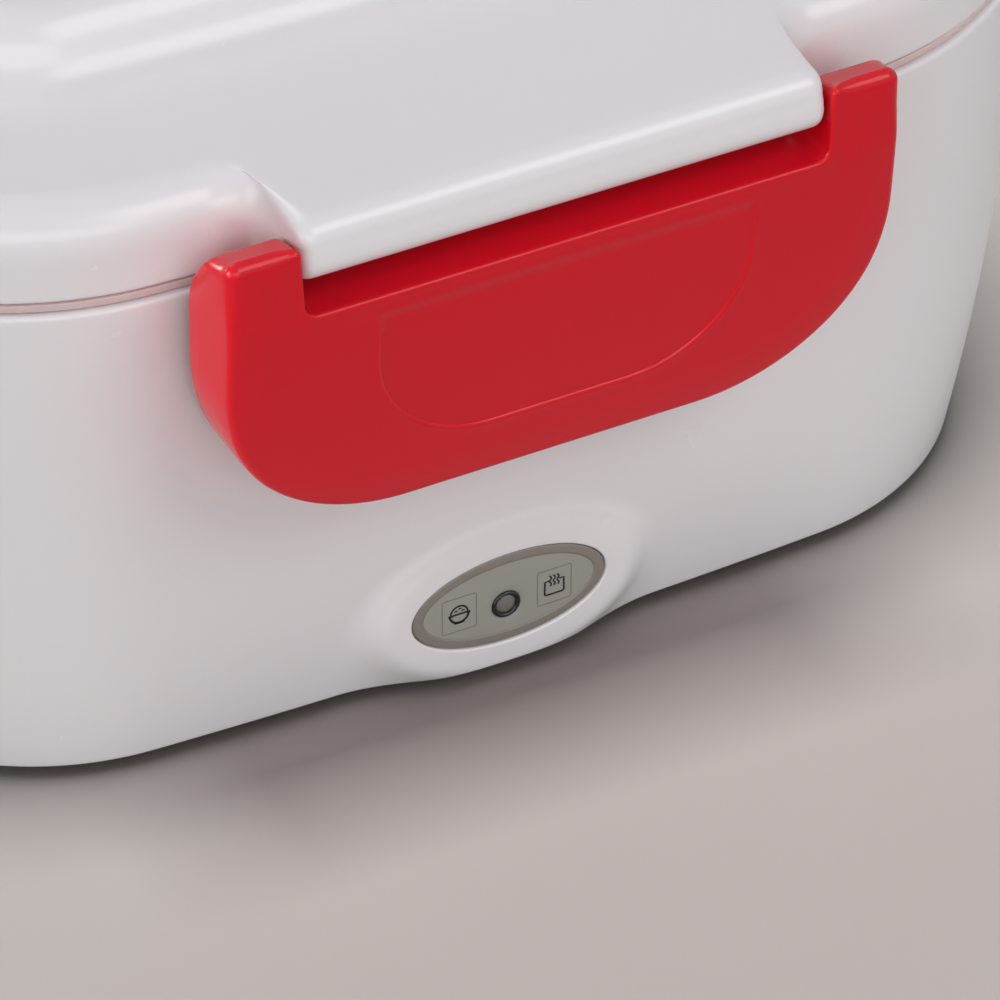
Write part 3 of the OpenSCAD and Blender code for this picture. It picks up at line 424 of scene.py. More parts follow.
WHITE = surface("white_gloss", (236, 233, 236), 0.26, vary=0.012, bump=0.006, rough_vary=0.03,
                Subsurface_Weight=0.12, Subsurface_Radius=(1.0, 0.85, 0.8), Subsurface_Scale=0.0025)
WHITE_IN = surface("white_inner", (232, 229, 226), 0.42, vary=0.015, bump=0.012,
                   Subsurface_Weight=0.08, Subsurface_Radius=(1.0, 0.9, 0.85), Subsurface_Scale=0.002)
RED = surface("red_gloss", (212, 16, 35), 0.21, vary=0.03, bump=0.004, rough_vary=0.03,
              Specular_IOR_Level=0.25, Subsurface_Weight=0.05, Subsurface_Radius=(1.0, 0.15, 0.12),
              Subsurface_Scale=0.0015)
SEAL = surface("seal_silicone", (222, 196, 196), 0.45, vary=0.04, bump=0.01,
               Subsurface_Weight=0.5, Subsurface_Radius=(1.0, 0.7, 0.65), Subsurface_Scale=0.003)
RED_SOFT = surface("red_silicone", (180, 28, 36), 0.55, vary=0.04, bump=0.02,
                   Subsurface_Weight=0.15, Subsurface_Radius=(1.0, 0.2, 0.15), Subsurface_Scale=0.002)
PLATE_RIM = surface("lamp_band", (135, 129, 122), 0.4, vary=0.03, tone=180, bump=0.008)
PLATE = surface("lamp_label", (158, 157, 150), 0.45, vary=0.03, tone=220, grain=2500, bump=0.01)
PRINT = surface("print_black", (24, 23, 24), 0.4, vary=0.1, tone=300)
PRINT_FAINT = surface("print_grey", (122, 121, 116), 0.5, vary=0.05, tone=300)
BLACK = surface("black_plastic", (26, 26, 27), 0.45, vary=0.08, grain=1600, bump=0.03)
BLACK_GLOSS = surface("ring_black", (28, 26, 26), 0.28, vary=0.08, bump=0.004)
LENS = surface("lens_smoke", (112, 110, 108), 0.12, vary=0.12, tone=900, grain=3000, bump=0.01,
               Coat_Weight=0.6)
FOOT = surface("foot_rubber", (52, 52, 53), 0.75, vary=0.06, grain=1200, bump=0.05)
STEEL = surface("tray_steel", (205, 204, 202), 0.3, vary=0.03, bump=0.006, scratches=1.0, Metallic=1.0)
PIN = surface("pin_steel", (196, 196, 198), 0.24, vary=0.04, tone=200, bump=0.004, Metallic=1.0)
ALU = surface("plate_aluminium", (208, 209, 211), 0.34, vary=0.04, bump=0.01, scratches=0.6, Metallic=1.0)
PTC = surface("element_case", (186, 186, 188), 0.4, vary=0.05, bump=0.02, Metallic=0.9)
PHENOL = surface("cutout_brown", (108, 74, 50), 0.5, vary=0.12, tone=200, bump=0.03)
BRASS = surface("pin_brass", (214, 182, 110), 0.25, vary=0.06, tone=150, Metallic=1.0)
BOARD = surface("board_green", (38, 98, 56), 0.35, vary=0.1, tone=160, Coat_Weight=0.4)
LED = surface("led_red", (170, 24, 20), 0.1, vary=0.05, Transmission_Weight=0.4)
WIRE_BROWN = surface("wire_brown", (96, 58, 38), 0.4, vary=0.06, tone=90)
WIRE_BLUE = surface("wire_blue", (42, 78, 160), 0.4, vary=0.06, tone=90)
WIRE_GREY = surface("wire_grey", (128, 128, 130), 0.4, vary=0.06, tone=90)

CAD_LOOKS = {
    "base_plate": WHITE_IN, "rubber_feet": FOOT, "base_screws": PIN, "heating_plate": ALU,
    "plate_gasket": RED_SOFT, "ptc_heater": PTC, "heater_clamp": PIN, "clamp_screws": PIN,
    "thermal_cutout": PHENOL, "inlet_pins": BRASS, "live_wire": WIRE_BROWN, "link_wire": WIRE_BROWN,
    "neutral_wire": WIRE_BLUE, "lamp_wires": WIRE_GREY, "indicator_led": LED, "lamp_board": BOARD,
    "handle_pins": PIN, "inner_liner": WHITE_IN, "lid_liner": WHITE_IN, "power_inlet": BLACK,
    "outer_shell": WHITE, "lid_shell": WHITE, "lid_seal": SEAL, "vent_plug": RED_SOFT, "handle": RED,
    "latch_front": RED, "latch_rear": RED, "food_tray": STEEL, "side_cup": WHITE_IN, "side_cup_lid": RED,
    "lamp_plate": PLATE, "lamp_ring": BLACK_GLOSS, "lamp_lens": LENS,
}
for node, look in CAD_LOOKS.items():
    mesh = frame["nodes"][node].data
    if not mesh.materials:
        mesh.materials.append(look)
    for k in range(len(mesh.materials)):
        mesh.materials[k] = look
    mesh.polygons.foreach_set("material_index", [0] * len(mesh.polygons))


# ---- Lower body ----
def boss_drop(x, z):
    """How far the lamp bulge's skin lies behind its flat face."""
    a, b = LAMP_W / 2 + 3.4, LAMP_H / 2 + 3.4
    z = z - LAMP_Z
    q = (x / a) ** 2 + (z / b) ** 2
    d = (q - 1) / (2 * np.sqrt((x / a ** 2) ** 2 + (z / b ** 2) ** 2) + 1e-6)
    t = np.maximum(d + 0.6, 0)
    return np.where(t < 2.5, t * t / 5, 1.25 + (t - 2.5))


def pad_drop(x, z):
    """The same for the pad round the power inlet."""
    r = 4.0
    qx, qz = np.abs(x) - (15 - r), np.abs(z - INLET_Z) - (9.5 - r)
    d = np.hypot(np.maximum(qx, 0), np.maximum(qz, 0)) + np.minimum(np.maximum(qx, qz), 0) - r
    t = np.maximum(d + 0.5, 0)
    return np.where(t < 0.6, t * t, 0.36 + (t - 0.6) * 2.5)


def front_skin(x, z):
    """How far the front lies behind the rim's foremost point, with the bulge for the lamp."""
    drop = boss_drop(x, z)
    return smin(front_wall(x, lean(z)), LAMP_FACE - 0.05 + drop, 1.0 + 1.4 * np.clip(drop, 0, 1))


def rear_skin(x, z):
    """The same for the rear, with the pad round the inlet."""
    return smin(front_wall(x, lean(z)), 3.2 + pad_drop(x, z), 0.6)


def in_lamp_hole(x, z, more):
    """Whether points lie in the lamp plate's hole, widened all round."""
    a, b = LAMP_W / 2 + LAMP_GAP + more, LAMP_H / 2 + LAMP_GAP + more
    return (x / a) ** 2 + ((z - LAMP_Z) / b) ** 2 < 1


def lamp_ellipse(more=0.0):
    return ellipse(LAMP_W / 2 + LAMP_GAP + more, LAMP_H / 2 + LAMP_GAP + more, 144, (0, LAMP_Z))


def body_rows():
    """Rows of points up the body's outside, and rows down its inside."""
    angles = quarter_angles(list(np.arange(0, 26, 0.5)) + list(np.arange(26, 43, 1.5)))
    foot_r, rim_r, shaped_to = 0.4, 0.6, 27
    turn = np.radians(np.linspace(0, 90, 6))
    rows = [(foot_r * (1 - math.sin(a)), SHELL_Z + foot_r * (1 - math.cos(a)), True) for a in turn]
    rows += [(0, z, True) for z in np.arange(SHELL_Z + foot_r + 0.4, shaped_to, 0.5)]
    rows += [(0, z, False) for z in np.linspace(shaped_to + 1, RIM_Z - rim_r - 0.5, 34)]
    rows += [(rim_r * (1 - math.cos(a)), RIM_Z - rim_r + rim_r * math.sin(a), False) for a in turn]
    outside = []
    for inset, z, shaped in rows:
        q = all_round(quarter(angles, lean(z) + inset))
        y = q[:, 1].copy()
        if shaped:
            near = (np.abs(q[:, 0]) < 25.5) & (q[:, 1] < 0)
            y[near] = front_skin(q[near, 0], z) + inset - HALF_L
            near = (np.abs(q[:, 0]) < 20) & (q[:, 1] > 0)
            y[near] = HALF_L - rear_skin(q[near, 0], z) - inset
        outside.append(np.column_stack([q[:, 0], y, np.full(len(q), z)]))
    line = [(1.35, RIM_Z), (1.5, RIM_Z - 0.15), (1.5, LEDGE_Z), (4.4, LEDGE_Z)]
    line += [(lean(z) + SHELL_WALL, z) for z in np.linspace(LEDGE_Z - 5, SHELL_Z, 14)]
    down = []
    for inset, z in line:
        q = all_round(quarter(angles, inset))
        down.append(np.column_stack([q, np.full(len(q), z)]))
    return outside, down


def kept_quads(wall, n_outside):
    """Which quads of the wall stay: not those around the lamp's pocket, nor those in the inlet's hole."""
    keep = np.ones((len(wall), len(wall[0])), bool)
    for k in range(len(wall) - 1):
        quad = np.stack([wall[k], np.roll(wall[k], -1, 0), np.roll(wall[k + 1], -1, 0), wall[k + 1]], 1)
        c = quad.mean(1)
        if k < n_outside - 1:
            around = in_lamp_hole(quad[:, :, 0], quad[:, :, 2], 1.7).any(1)
            keep[k] &= ~(around & (c[:, 1] < 0))
        at_inlet = (np.abs(c[:, 0]) < INLET_HALF_W) & (np.abs(c[:, 2] - INLET_Z) < INLET_HALF_H)
        keep[k] &= ~(at_inlet & (c[:, 1] > 0))
    return keep


def lamp_pocket(b, widths, edge=0.25):
    """Rings on the skin, then over a rounded edge and down to the pocket's floor. Returns the widest ring."""
    bends = np.radians(np.linspace(0, 90, 5))
    steps = [(d, 0.0) for d in widths]
    steps += [(edge * (1 - math.sin(a)), edge * (1 - math.cos(a))) for a in bends]
    rings = []
    for more, back in steps:
        e = lamp_ellipse(more)
        y = front_skin(e[:, 0], e[:, 1]) + back - HALF_L
        rings.append(np.column_stack([e[:, 0], y, e[:, 1]]))
    e = lamp_ellipse()
    rings.append(np.column_stack([e[:, 0], np.full(len(e), LAMP_FACE + POCKET_DEPTH - HALF_L), e[:, 1]]))
    b.grid(rings, closed=True, cap_high=True)
    return rings[0]


def join_pocket(b, outside, keep, ring, width):
    """Triangles between the pocket's widest ring and the quads that stay around it."""
    m = len(outside[0])
    corners = {}
    for k in range(len(outside) - 1):
        for i in range(m):
            if not keep[k, i] and outside[k][i, 1] < 0:
                j = (i + 1) % m
                corners.update(dict.fromkeys([(k, i), (k, j), (k + 1, i), (k + 1, j)]))
    border = [(k, i) for k, i in corners if keep[[k - 1, k - 1, k, k], [i - 1, i, i - 1, i]].any()]
    place = {key: at for at, key in enumerate(border)}
    n = len(border)
    edges = [(n + i, n + (i + 1) % len(ring)) for i in range(len(ring))]
    for (k, i), at in place.items():
        along, up = place.get((k, (i + 1) % m)), place.get((k + 1, i))
        if along is not None and keep[k - 1, i] != keep[k, i]:
            edges.append((at, along))
        if up is not None and keep[k, i - 1] != keep[k, i]:
            edges.append((at, up))
    points = [outside[k][i] for k, i in border] + [tuple(p) for p in ring]
    v, _, f, origins, _, _ = delaunay_2d_cdt([Vector((p[0], p[2])) for p in points], edges, [], 0, 1e-7)
    centres = np.array([tuple(p) for p in v])[np.array(f)].mean(1)
    front = sorted((i for i in range(m) if outside[0][i, 1] < 0), key=lambda i: outside[0][i, 0])
    xs = np.array([outside[0][i, 0] for i in front])
    zs = np.array([row[0, 2] for row in outside])
    faces = []
    for (x, z), face in zip(centres, f):
        k = int(np.searchsorted(zs, z)) - 1
        i = front[max(int(np.searchsorted(xs, x)) - 1, 0)]
        if not in_lamp_hole(x, z, width) and 0 <= k < len(outside) - 1 and not keep[k, i]:
            faces.append(face)
    b.add([points[o[0]] for o in origins], faces)


def outer_shell():
    b = Build()
    outside, down = body_rows()
    wall = outside + down
    keep = kept_quads(wall, len(outside))
    b.grid(wall, closed=True, joined=True, keep=keep)
    widths = (1.25, 0.95, 0.7, 0.45)
    ring = lamp_pocket(b, widths)
    join_pocket(b, outside, keep, ring, widths[0])
    # catch ribs under the latches
    for s in (-1, 1):
        start = len(b.v)
        prism(b, [(0.6, 58.4), (-2.2, 58.8), (-2.2, 59.6), (0.6, 61.4)], -15, 15, 0.3)
        b.move(lambda p, s=s: (p[0] * -s, s * (HALF_L - p[1]), p[2]), start)
    return b.end("outer_shell_skin", WHITE, "base", "white_gloss", replaced=["outer_shell"], sharp=40)


# ---- Lid ----
def ear_slope(z):
    """How far an ear's top falls towards its back."""
    t = np.clip((z - 76.5) / (EAR_TOP - 76.5), 0, 1)
    return 1.55 * t * t


def latch_back(z):
    """y of a latch's back edge: close to the body, and forward of the lid's shoulder at the ears."""
    up = np.maximum(z - ear_slope(z) - 71.0, 0) / 9.24
    return lean(np.minimum(z, RIM_Z)) - 1.3 - np.minimum(4.55 * up ** 1.88, 4.7)


def shoulder(z):
    up = np.maximum(z - (SHOULDER_Z - SHOULDER_R), 0)
    return SHOULDER_R - np.sqrt(np.maximum(SHOULDER_R ** 2 - up * up, 0))


def lid_shell():
    b = Build()
    fillet, corner, nose_r, top_r, end_r = 5.8, 1.6, 3.0, 3.0, 1.6
    low, top, front = HINGE_Z - nose_r, 84.3, HINGE_OUT + nose_r
    n_front, n_bend, n_end, n_fillet = 16, 6, 5, 12
    n_rest = n_bend + n_end + n_fillet + 4
    x_plain = np.concatenate([np.linspace(0, LUG_HALF - corner, n_front, endpoint=False),
                              np.linspace(LUG_HALF - corner, LUG_HALF + fillet, n_rest)])
    angles = quarter_angles(list(x_plain) + [41.0])
    n_lug = len(x_plain)
    wall_y = float(front_wall(LUG_HALF + fillet, 0))

    def lug(z, depth, half):
        """Points of the front's right half with the lug, at height z: [x, y from the rim]."""
        y_wall = wall_y + float(shoulder(z))
        r = min(fillet, y_wall - float(latch_back(z)) - 0.45)
        face = np.column_stack([np.linspace(0, half - corner, n_front, endpoint=False),
                                np.full(n_front, -depth)])
        bend = arc((half - corner, corner - depth), corner, -90, 0, n_bend)[:-1]
        end = np.column_stack([np.linspace(half, LUG_HALF, n_end, endpoint=False),
                               np.linspace(corner - depth, y_wall - r, n_end, endpoint=False)])
        turn = arc((LUG_HALF + r, y_wall - r), r, 180, 90, n_fillet)
        rest = np.column_stack([np.linspace(LUG_HALF + r, LUG_HALF + fillet, 4)[1:], np.full(3, y_wall)])
        return np.concatenate([face, bend, end, turn, rest])

    def row(inset, z, depth=None, half=LUG_HALF, blend=None):
        """The lid's outline at height z. blend is how far it has left the lug's outline at a lower height."""
        q = quarter(angles, inset)
        zq = np.full(len(q), z)
        if depth is not None:
            t, z_low = blend or (0, z)
            p = lug(z_low, depth, half)
            p[:, 1] -= HALF_L
            q[:n_lug] = p * (1 - t) + q[:n_lug] * t
            zq[:n_lug] = z_low * (1 - t) + z * t
        heights = np.concatenate([zq[:-1], zq[1:][::-1], zq[:-1], zq[1:][::-1]])
        return np.column_stack([all_round(q), heights])

    rows = [row(2.2, LID_Z + 0.1), row(1.9, LID_Z)]
    for a in np.radians(np.linspace(0, 90, 5)):
        rows.append(row(0.45 * (1 - math.sin(a)), LID_Z + 0.45 * (1 - math.cos(a))))
    rows += [row(0, z) for z in (74.0, 74.6)]
    rows += [row(0, z, -0.3) for z in (74.62, 75.3, 76.0, low)]
    for a in np.radians(np.linspace(0, 90, 9)):
        z = HINGE_Z - nose_r * math.cos(a)
        half = LUG_HALF - float(rounding(z - low, 0.6)) * 0.8
        rows.append(row(float(shoulder(z)), z, HINGE_OUT + nose_r * math.sin(a), half))
    for z in (80.2, 80.8):
        rows.append(row(float(shoulder(z)), z, front - 0.4 * (z - HINGE_Z) / 2.7))
    top_front = front - 0.4
    for a in np.radians(np.linspace(0, 90, 9)):
        z = top - top_r + top_r * math.sin(a)
        half = LUG_HALF - float(rounding(top - z, end_r))
        rows.append(row(float(shoulder(z)), z, top_front - top_r * (1 - math.cos(a)), half))
    for t, z in ((0.3, 84.4), (0.6, 84.46), (0.85, 84.49)):
        rows.append(row(float(shoulder(z)), z, top_front - top_r, LUG_HALF - end_r, blend=(t, top)))
    crown = smooth_line([(5.8, 84.5), (12, 84.58), (18.5, 84.7), (22.2, 85.2), (24.6, 87.0), (26.6, 90.1),
                         (28.9, 92.05), (32, CROWN_Z), (38, CROWN_Z)], 5)
    rows += [row(i, z) for i, z in crown]
    b.grid(rows, closed=True, cap_high=True)
    inner_r = 3.6
    line = [(2.2, LID_Z + 0.1), (2.2, LID_Z + LID_EDGE)]
    for a in np.radians((30, 60, 90)):
        line.append((SHOULDER_R - inner_r * math.cos(a), SHOULDER_Z - SHOULDER_R + inner_r * math.sin(a)))
    line += [(20, 82.5), (26, 87.5), (30, 90.3), (38, 90.3)]
    b.grid([row(i, z) for i, z in line[::-1]], closed=True, cap_low=True)
    # ears that the handle turns in
    for s in (-1, 1):
        ear = np.concatenate([[(9.0, CROWN_Z - 0.4), (7.0, CROWN_Z + 1.0)], arc((0, PIVOT_Z), 6, 0, 180, 24),
                              [(-7.0, CROWN_Z + 1.0), (-9.0, CROWN_Z - 0.4)]])
        prism(b, [tuple(p) for p in ear], s * 32.35 - 2.25, s * 32.35 + 2.25, 0.6)
    return b.end("lid_shell_skin", WHITE, "lid", "white_gloss", replaced=["lid_shell"], sharp=40)


# ---- Latches ----
def face_at(z):
    t = np.maximum(CREST_Z - z, 0) / (CREST_Z - LATCH_BOTTOM)
    return LATCH_OUT - LATCH_LEAN * (0.55 * t + 0.45 * t * t)


def latch_outline():
    half, notch = LATCH_W / 2, NOTCH_W / 2
    ear_r, ear_in, notch_r, draft = 1.7, 0.9, 1.8, 0.15
    right = np.concatenate([
        arc((half - LATCH_CORNER, LATCH_BOTTOM + LATCH_CORNER), LATCH_CORNER, 270, 360, 64),
        arc((half - ear_r, EAR_TOP - ear_r), ear_r, 0, 90, 18),
        arc((notch + draft + ear_in, EAR_TOP - ear_in), ear_in, 90, 180, 10),
        arc((notch - draft - notch_r, CREST_Z + notch_r), notch_r, 0, -90, 12)])
    return dense(np.concatenate([right, right[::-1] * [-1, 1]]), 0.6)


def latch_recess():
    half, top, top_r = 23.4, 70.6, 1.2
    low_x, low_z, low_r = 8.4, 64.1, 15
    return dense(np.concatenate([
        arc((-low_x, low_z), low_r, 180, 270, 40), arc((low_x, low_z), low_r, 270, 360, 40),
        arc((half - top_r, top - top_r), top_r, 0, 90, 6),
        arc((top_r - half, top - top_r), top_r, 90, 180, 6)]), 0.6)


def latch_hollow():
    half, top, top_r = LATCH_W / 2, CREST_Z - LATCH_WALL, 1.5
    right = np.concatenate([
        arc((half - LATCH_CORNER, LATCH_BOTTOM + LATCH_CORNER), LATCH_CORNER - LATCH_WALL, 270, 360, 40),
        arc((half - LATCH_WALL - top_r, top - top_r), top_r, 0, 90, 6)])
    return dense(np.concatenate([right, right[::-1] * [-1, 1]]), 1.2)


def latch_face(v, d, recess):
    """y of the latch's front at points v, which lie d from its outline."""
    x, z = np.abs(v[:, 0]), v[:, 1]
    # the recess steps down from a soft lip, which is sharper along its top
    in_recess = nearest(v, recess) * np.where(inside(recess, v), 1, -1)
    step = np.clip(0.5 + in_recess / 0.3, 0, 1)
    at_top = np.clip((z - 69.6) / 0.8, 0, 1)
    lip = np.exp(-((in_recess + 0.38) / 0.2) ** 2) * (0.05 + 0.11 * at_top)
    depth = 0.26 * step * step * (3 - 2 * step) - lip
    # the crest and the ears' inner edges are crisp and undomed, the ears' outer edges softer than the rest
    notch, edge, crest_edge, dome = NOTCH_W / 2, 0.9, 0.5, 0.35
    crisp = np.clip((notch + 1.5 - x) / 1.5, 0, 1) * np.clip((z - CREST_Z + 4) / 2, 0, 1)
    ear = np.clip((z - CREST_Z - 1) / 4, 0, 1) * np.clip((x - notch - 1.5) / 2, 0, 1)
    r = (edge + (EAR_EDGE - edge) * ear) * (1 - crisp) + crest_edge * crisp
    return -face_at(z) + depth + rounding(d, r) + dome * (1 - crisp) * np.clip(1 - d / 5.2, 0, 1) ** 2


def latch_side(p, t):
    """x of points on the outline: the sides close in towards the front, where t is 0."""
    w = np.clip((np.abs(p[:, 0]) - 33) / 9, 0, 1) * np.clip((p[:, 1] - 48) / 12, 0, 1)
    return p[:, 0] - np.sign(p[:, 0]) * 0.35 * w * (1 - t)


def latch_mesh():
    b = Build()
    outline, recess, hollow = latch_outline(), latch_recess(), latch_hollow()
    offsets = edge_steps(EAR_EDGE, 8) + [EAR_EDGE + t for t in (0.4, 1.0, 1.8, 2.8, 3.9)]
    around_recess = (-0.75, -0.6, -0.45, -0.3, -0.15, 0, 0.12, 0.3)
    v, d, f, (ring,) = sheet([outline], offsets, 1.6, [recess], around_recess)
    y = latch_face(v, d, recess)
    front = b.add(np.column_stack([latch_side(v, 0), y, v[:, 1]]), f)
    loop, y_front = v[ring], y[ring]

    def placed(p, y):
        t = np.clip((y - y_front.min()) / 5.0, 0, 1)
        return np.column_stack([latch_side(p, t), y, p[:, 1] - ear_slope(p[:, 1]) * t])

    back_edge = 0.5
    v, d, f, (ring_out, ring_in) = sheet([loop, hollow[::-1]], edge_steps(back_edge, 3), 1.4)
    y = latch_back(v[:, 1]) - rounding(d, back_edge)
    back = b.add(placed(v, y), [t[::-1] for t in f])
    rows = [[front + i for i in ring]]
    for t in (0.08, 0.3, 0.65):
        start = b.add(placed(loop, y_front + (y[ring_out] - y_front) * t), [])
        rows.append(range(start, start + len(ring)))
    rows.append([back + i for i in ring_out])
    for low, high in zip(rows, rows[1:]):
        b.strip(low, high)
    # hollow behind the face
    v, _, f, (ring,) = sheet([hollow], [0.6], 2.5)
    floor = b.add(np.column_stack([v[:, 0], LATCH_WALL - face_at(v[:, 1]), v[:, 1]]), [t[::-1] for t in f])
    b.strip([back + i for i in ring_in], [floor + i for i in ring][::-1])
    # catch and hinge stubs
    prism(b, [(-9.5, 57.9), (-2.5, 57.3), (-2.5, 56.3), (-9.5, 54.9)], -13, 13, 0.25)
    for s in (-1, 1):
        lathe(b, [(0.9, 0), (1.25, 0.35), (1.25, 4.2)], (s * 30.2, -HINGE_OUT, HINGE_Z), (s, 0, 0), 32)
    return b


def latches():
    mesh = latch_mesh()
    for name, body, s in (("latch_front", "front_latch", 1), ("latch_rear", "rear_latch", -1)):
        b = Build()
        b.v = [(p[0] * s, (p[1] - HALF_L) * s, p[2]) for p in mesh.v]
        b.f, b.m = mesh.f, mesh.m
        b.end(name + "_skin", RED, body, "red_gloss", replaced=[name], sharp=42)


# ---- Lamp ----
def ribbon(b, path, width, y, thick=0.05, closed=False):
    """Flat stroke on the lamp plate along [x, z] points."""
    p = np.array(path, float)
    if closed:
        t = np.roll(p, -1, 0) - np.roll(p, 1, 0)
    else:
        t = np.gradient(p, axis=0)
    t /= np.linalg.norm(t, axis=1)[:, None]
    n = np.stack([-t[:, 1], t[:, 0]], 1) * width / 2
    if not closed:
        p = p.copy()
        p[0] -= t[0] * width * 0.3
        p[-1] += t[-1] * width * 0.3
    rows = []
    for side, yy in ((-1, y), (-0.9, y - thick), (0.9, y - thick), (1, y)):
        q = p + n * side
        rows.append(np.column_stack([q[:, 0], np.full(len(q), yy), q[:, 1]]))
    b.grid(rows, closed=closed)


def lamp_plate():
    b = Build()
    band, step, sunk = 1.35, 0.3, LABEL_BACK
    face, back = LAMP_FACE + PLATE_BACK - HALF_L, LAMP_FACE + POCKET_DEPTH - HALF_L

    def plate_row(inset, y):
        e = ellipse(LAMP_W / 2 - inset, LAMP_H / 2 - inset, 144, (0, LAMP_Z))
        return np.column_stack([e[:, 0], np.full(len(e), y), e[:, 1]])

    rows = [plate_row(0, back)]
    rows += [plate_row(d, face + float(rounding(d, 0.3))) for d in [0] + edge_steps(0.3, 4) + [0.7, 1.1]]
    for t in (0, 0.25, 0.5, 0.75, 1):
        rows.append(plate_row(band - step / 2 + step * t, face + sunk * t * t * (3 - 2 * t)))
    b.grid(rows, closed=True)
    b.mat = 1
    label = rows[-1][:, [0, 2]]
    hole = ellipse(1.88, 1.88, 48, (LENS_X, LENS_Z))[::-1]
    v, _, f, (_, ring) = sheet([label, hole], [0.2], 0.9)
    y = face + sunk + rounding(np.minimum(nearest(v, hole), 0.1), 0.1)
    b.add(np.column_stack([v[:, 0], y, v[:, 1]]), f)
    rim = np.column_stack([v[ring][:, 0], y[ring], v[ring][:, 1]])
    b.grid([rim, np.column_stack([rim[:, 0], np.full(len(rim), back), rim[:, 2]])], closed=True)
    b.end("lamp_plate_face", None, "base", "lamp_grey", mats=[PLATE_RIM, PLATE], replaced=["lamp_plate"],
          sharp=50)


def bowl_mark(b, c, y):
    """Bowl with a heap of rice."""
    bowl = np.radians(np.linspace(180, 360, 25))
    ribbon(b, c + 1.22 * np.stack([np.cos(bowl), np.sin(bowl)], 1), 0.3, y)
    ribbon(b, [c + (-1.35, 0), c + (-0.5, 0.04), c + (0.5, 0.04), c + (1.35, 0)], 0.26, y)
    heap = np.radians(np.linspace(8, 172, 23))
    ribbon(b, c + (0, 0.12) + 1.12 * np.stack([np.cos(heap), np.sin(heap)], 1), 0.24, y)
    ribbon(b, [c + (-0.6, -1.22), c + (0, -1.27), c + (0.6, -1.22)], 0.26, y)
    for dx, dz in ((-0.42, 0.52), (0.1, 0.78), (0.5, 0.45)):
        ribbon(b, [c + (dx - 0.16, dz), c + (dx, dz + 0.09), c + (dx + 0.16, dz)], 0.16, y)


def pan_mark(b, c, y):
    """Open pan with rising warmth."""
    pan = np.concatenate([[(-0.75, 1.0), (-1.25, 1.0)], arc((-1.0, -0.75), 0.28, 180, 270, 5),
                          arc((1.0, -0.75), 0.28, 270, 360, 5), [(1.25, 1.0), (0.75, 1.0)]])
    ribbon(b, c + pan, 0.24, y)
    z = np.linspace(0.25, 1.75, 19)
    for dx in (-0.5, 0.0, 0.5):
        ribbon(b, c + np.stack([dx + 0.13 * np.sin((z - 0.25) * 2 * math.pi / 0.9), z], 1), 0.2, y)


def lamp():
    lamp_plate()
    y = LAMP_FACE + PLATE_BACK + LABEL_BACK - HALF_L
    b = Build()
    bowl_mark(b, np.array([-6.55, 10.95]), y)
    pan_mark(b, np.array([6.05, 10.55]), y)
    b.end("lamp_marks", PRINT, "base", "black_plastic", sharp=60)
    b = Build()
    for c in ((-6.55, 10.95), (6.05, 10.75)):
        ribbon(b, box_loop(4.5, 5.0, 0.25, 3, c), 0.12, y, 0.03, closed=True)
    b.end("lamp_frames", PRINT_FAINT, "base", "lamp_grey", sharp=60)
    centre, inwards = (LENS_X, LAMP_FACE + 0.02 - HALF_L, LENS_Z), (0, 1, 0)
    b = Build()
    ring = [(1.28, 1.4), (1.34, 0.16), (1.46, 0.04), (1.62, 0), (1.76, 0.04), (1.86, 0.16), (1.88, 1.4)]
    lathe(b, ring, centre, inwards, 64)
    b.end("lamp_ring_round", BLACK_GLOSS, "base", "black_plastic", replaced=["lamp_ring"], sharp=50)
    b = Build()
    dome = [(0, 0.12), (0.5, 0.14), (0.9, 0.2), (1.2, 0.3), (1.32, 0.4), (1.32, 4.5), (0, 4.5)]
    lathe(b, dome, centre, inwards, 48)
    b.end("lamp_lens_dome", LENS, "base", "lens", replaced=["lamp_lens"], sharp=50)


# ---- Seal, liners and food containers ----
def bowl_at(z):
    """Inset of the bowl's outside at height z."""
    return 6.0 + 4.0 * (LEDGE_Z - z) / (LEDGE_Z - BOWL_LOW)


def tray_at(z):
    return bowl_at(z) + TRAY_GAP


PLAIN = quarter_angles(np.arange(0, 43, 4.0), 32, 8)


def circle_row(r, z):
    q = all_round(quarter(PLAIN, 0))
    q = q / np.linalg.norm(q, axis=1)[:, None] * r
    return np.column_stack([q, np.full(len(q), z)])


def plan_row(inset, z):
    q = all_round(quarter(PLAIN, inset))
    return np.column_stack([q, np.full(len(q), z)])


def round_profile(points, radius, steps=4):
    """Rounds the corners of an open [inset, z] line."""
    p = [np.array(q, float) for q in points]
    out = [p[0]]
    for a, b, c in zip(p, p[1:], p[2:]):
        u, w = (a - b), (c - b)
        r = min(radius, np.linalg.norm(u) * 0.45, np.linalg.norm(w) * 0.45)
        s, e = b + u / np.linalg.norm(u) * r, b + w / np.linalg.norm(w) * r
        for t in np.linspace(0, 1, steps + 1):
            out.append((1 - t) ** 2 * s + 2 * t * (1 - t) * b + t * t * e)
    out.append(p[-1])
    return out


def bowl():
    b = Build()
    low, floor, plate_r = BOWL_LOW, BOWL_FLOOR, 38.5
    line = round_profile([(bowl_at(low) + 22, low), (bowl_at(low), low), (6, LEDGE_Z), (1.6, LEDGE_Z),
                          (1.6, RIM_Z), (bowl_at(RIM_Z) + BOWL_WALL, RIM_Z),
                          (bowl_at(floor) + BOWL_WALL, floor), (bowl_at(floor) + 22, floor)], 0.35)
    rows = [circle_row(plate_r, low)] + [plan_row(i, z) for i, z in line] + [circle_row(plate_r, floor)]
    b.grid(rows, closed=True, joined=True)
    for x in (-60, 60):
        for y in (-82, 82):
            lathe(b, [(1.35, 4.5), (4, 4.5), (4, low + 0.2)], (x, y, 0), (0, 0, 1), 32)
    b.end("bowl_skin", WHITE_IN, "base", "white_inner", replaced=["inner_liner"], sharp=40)


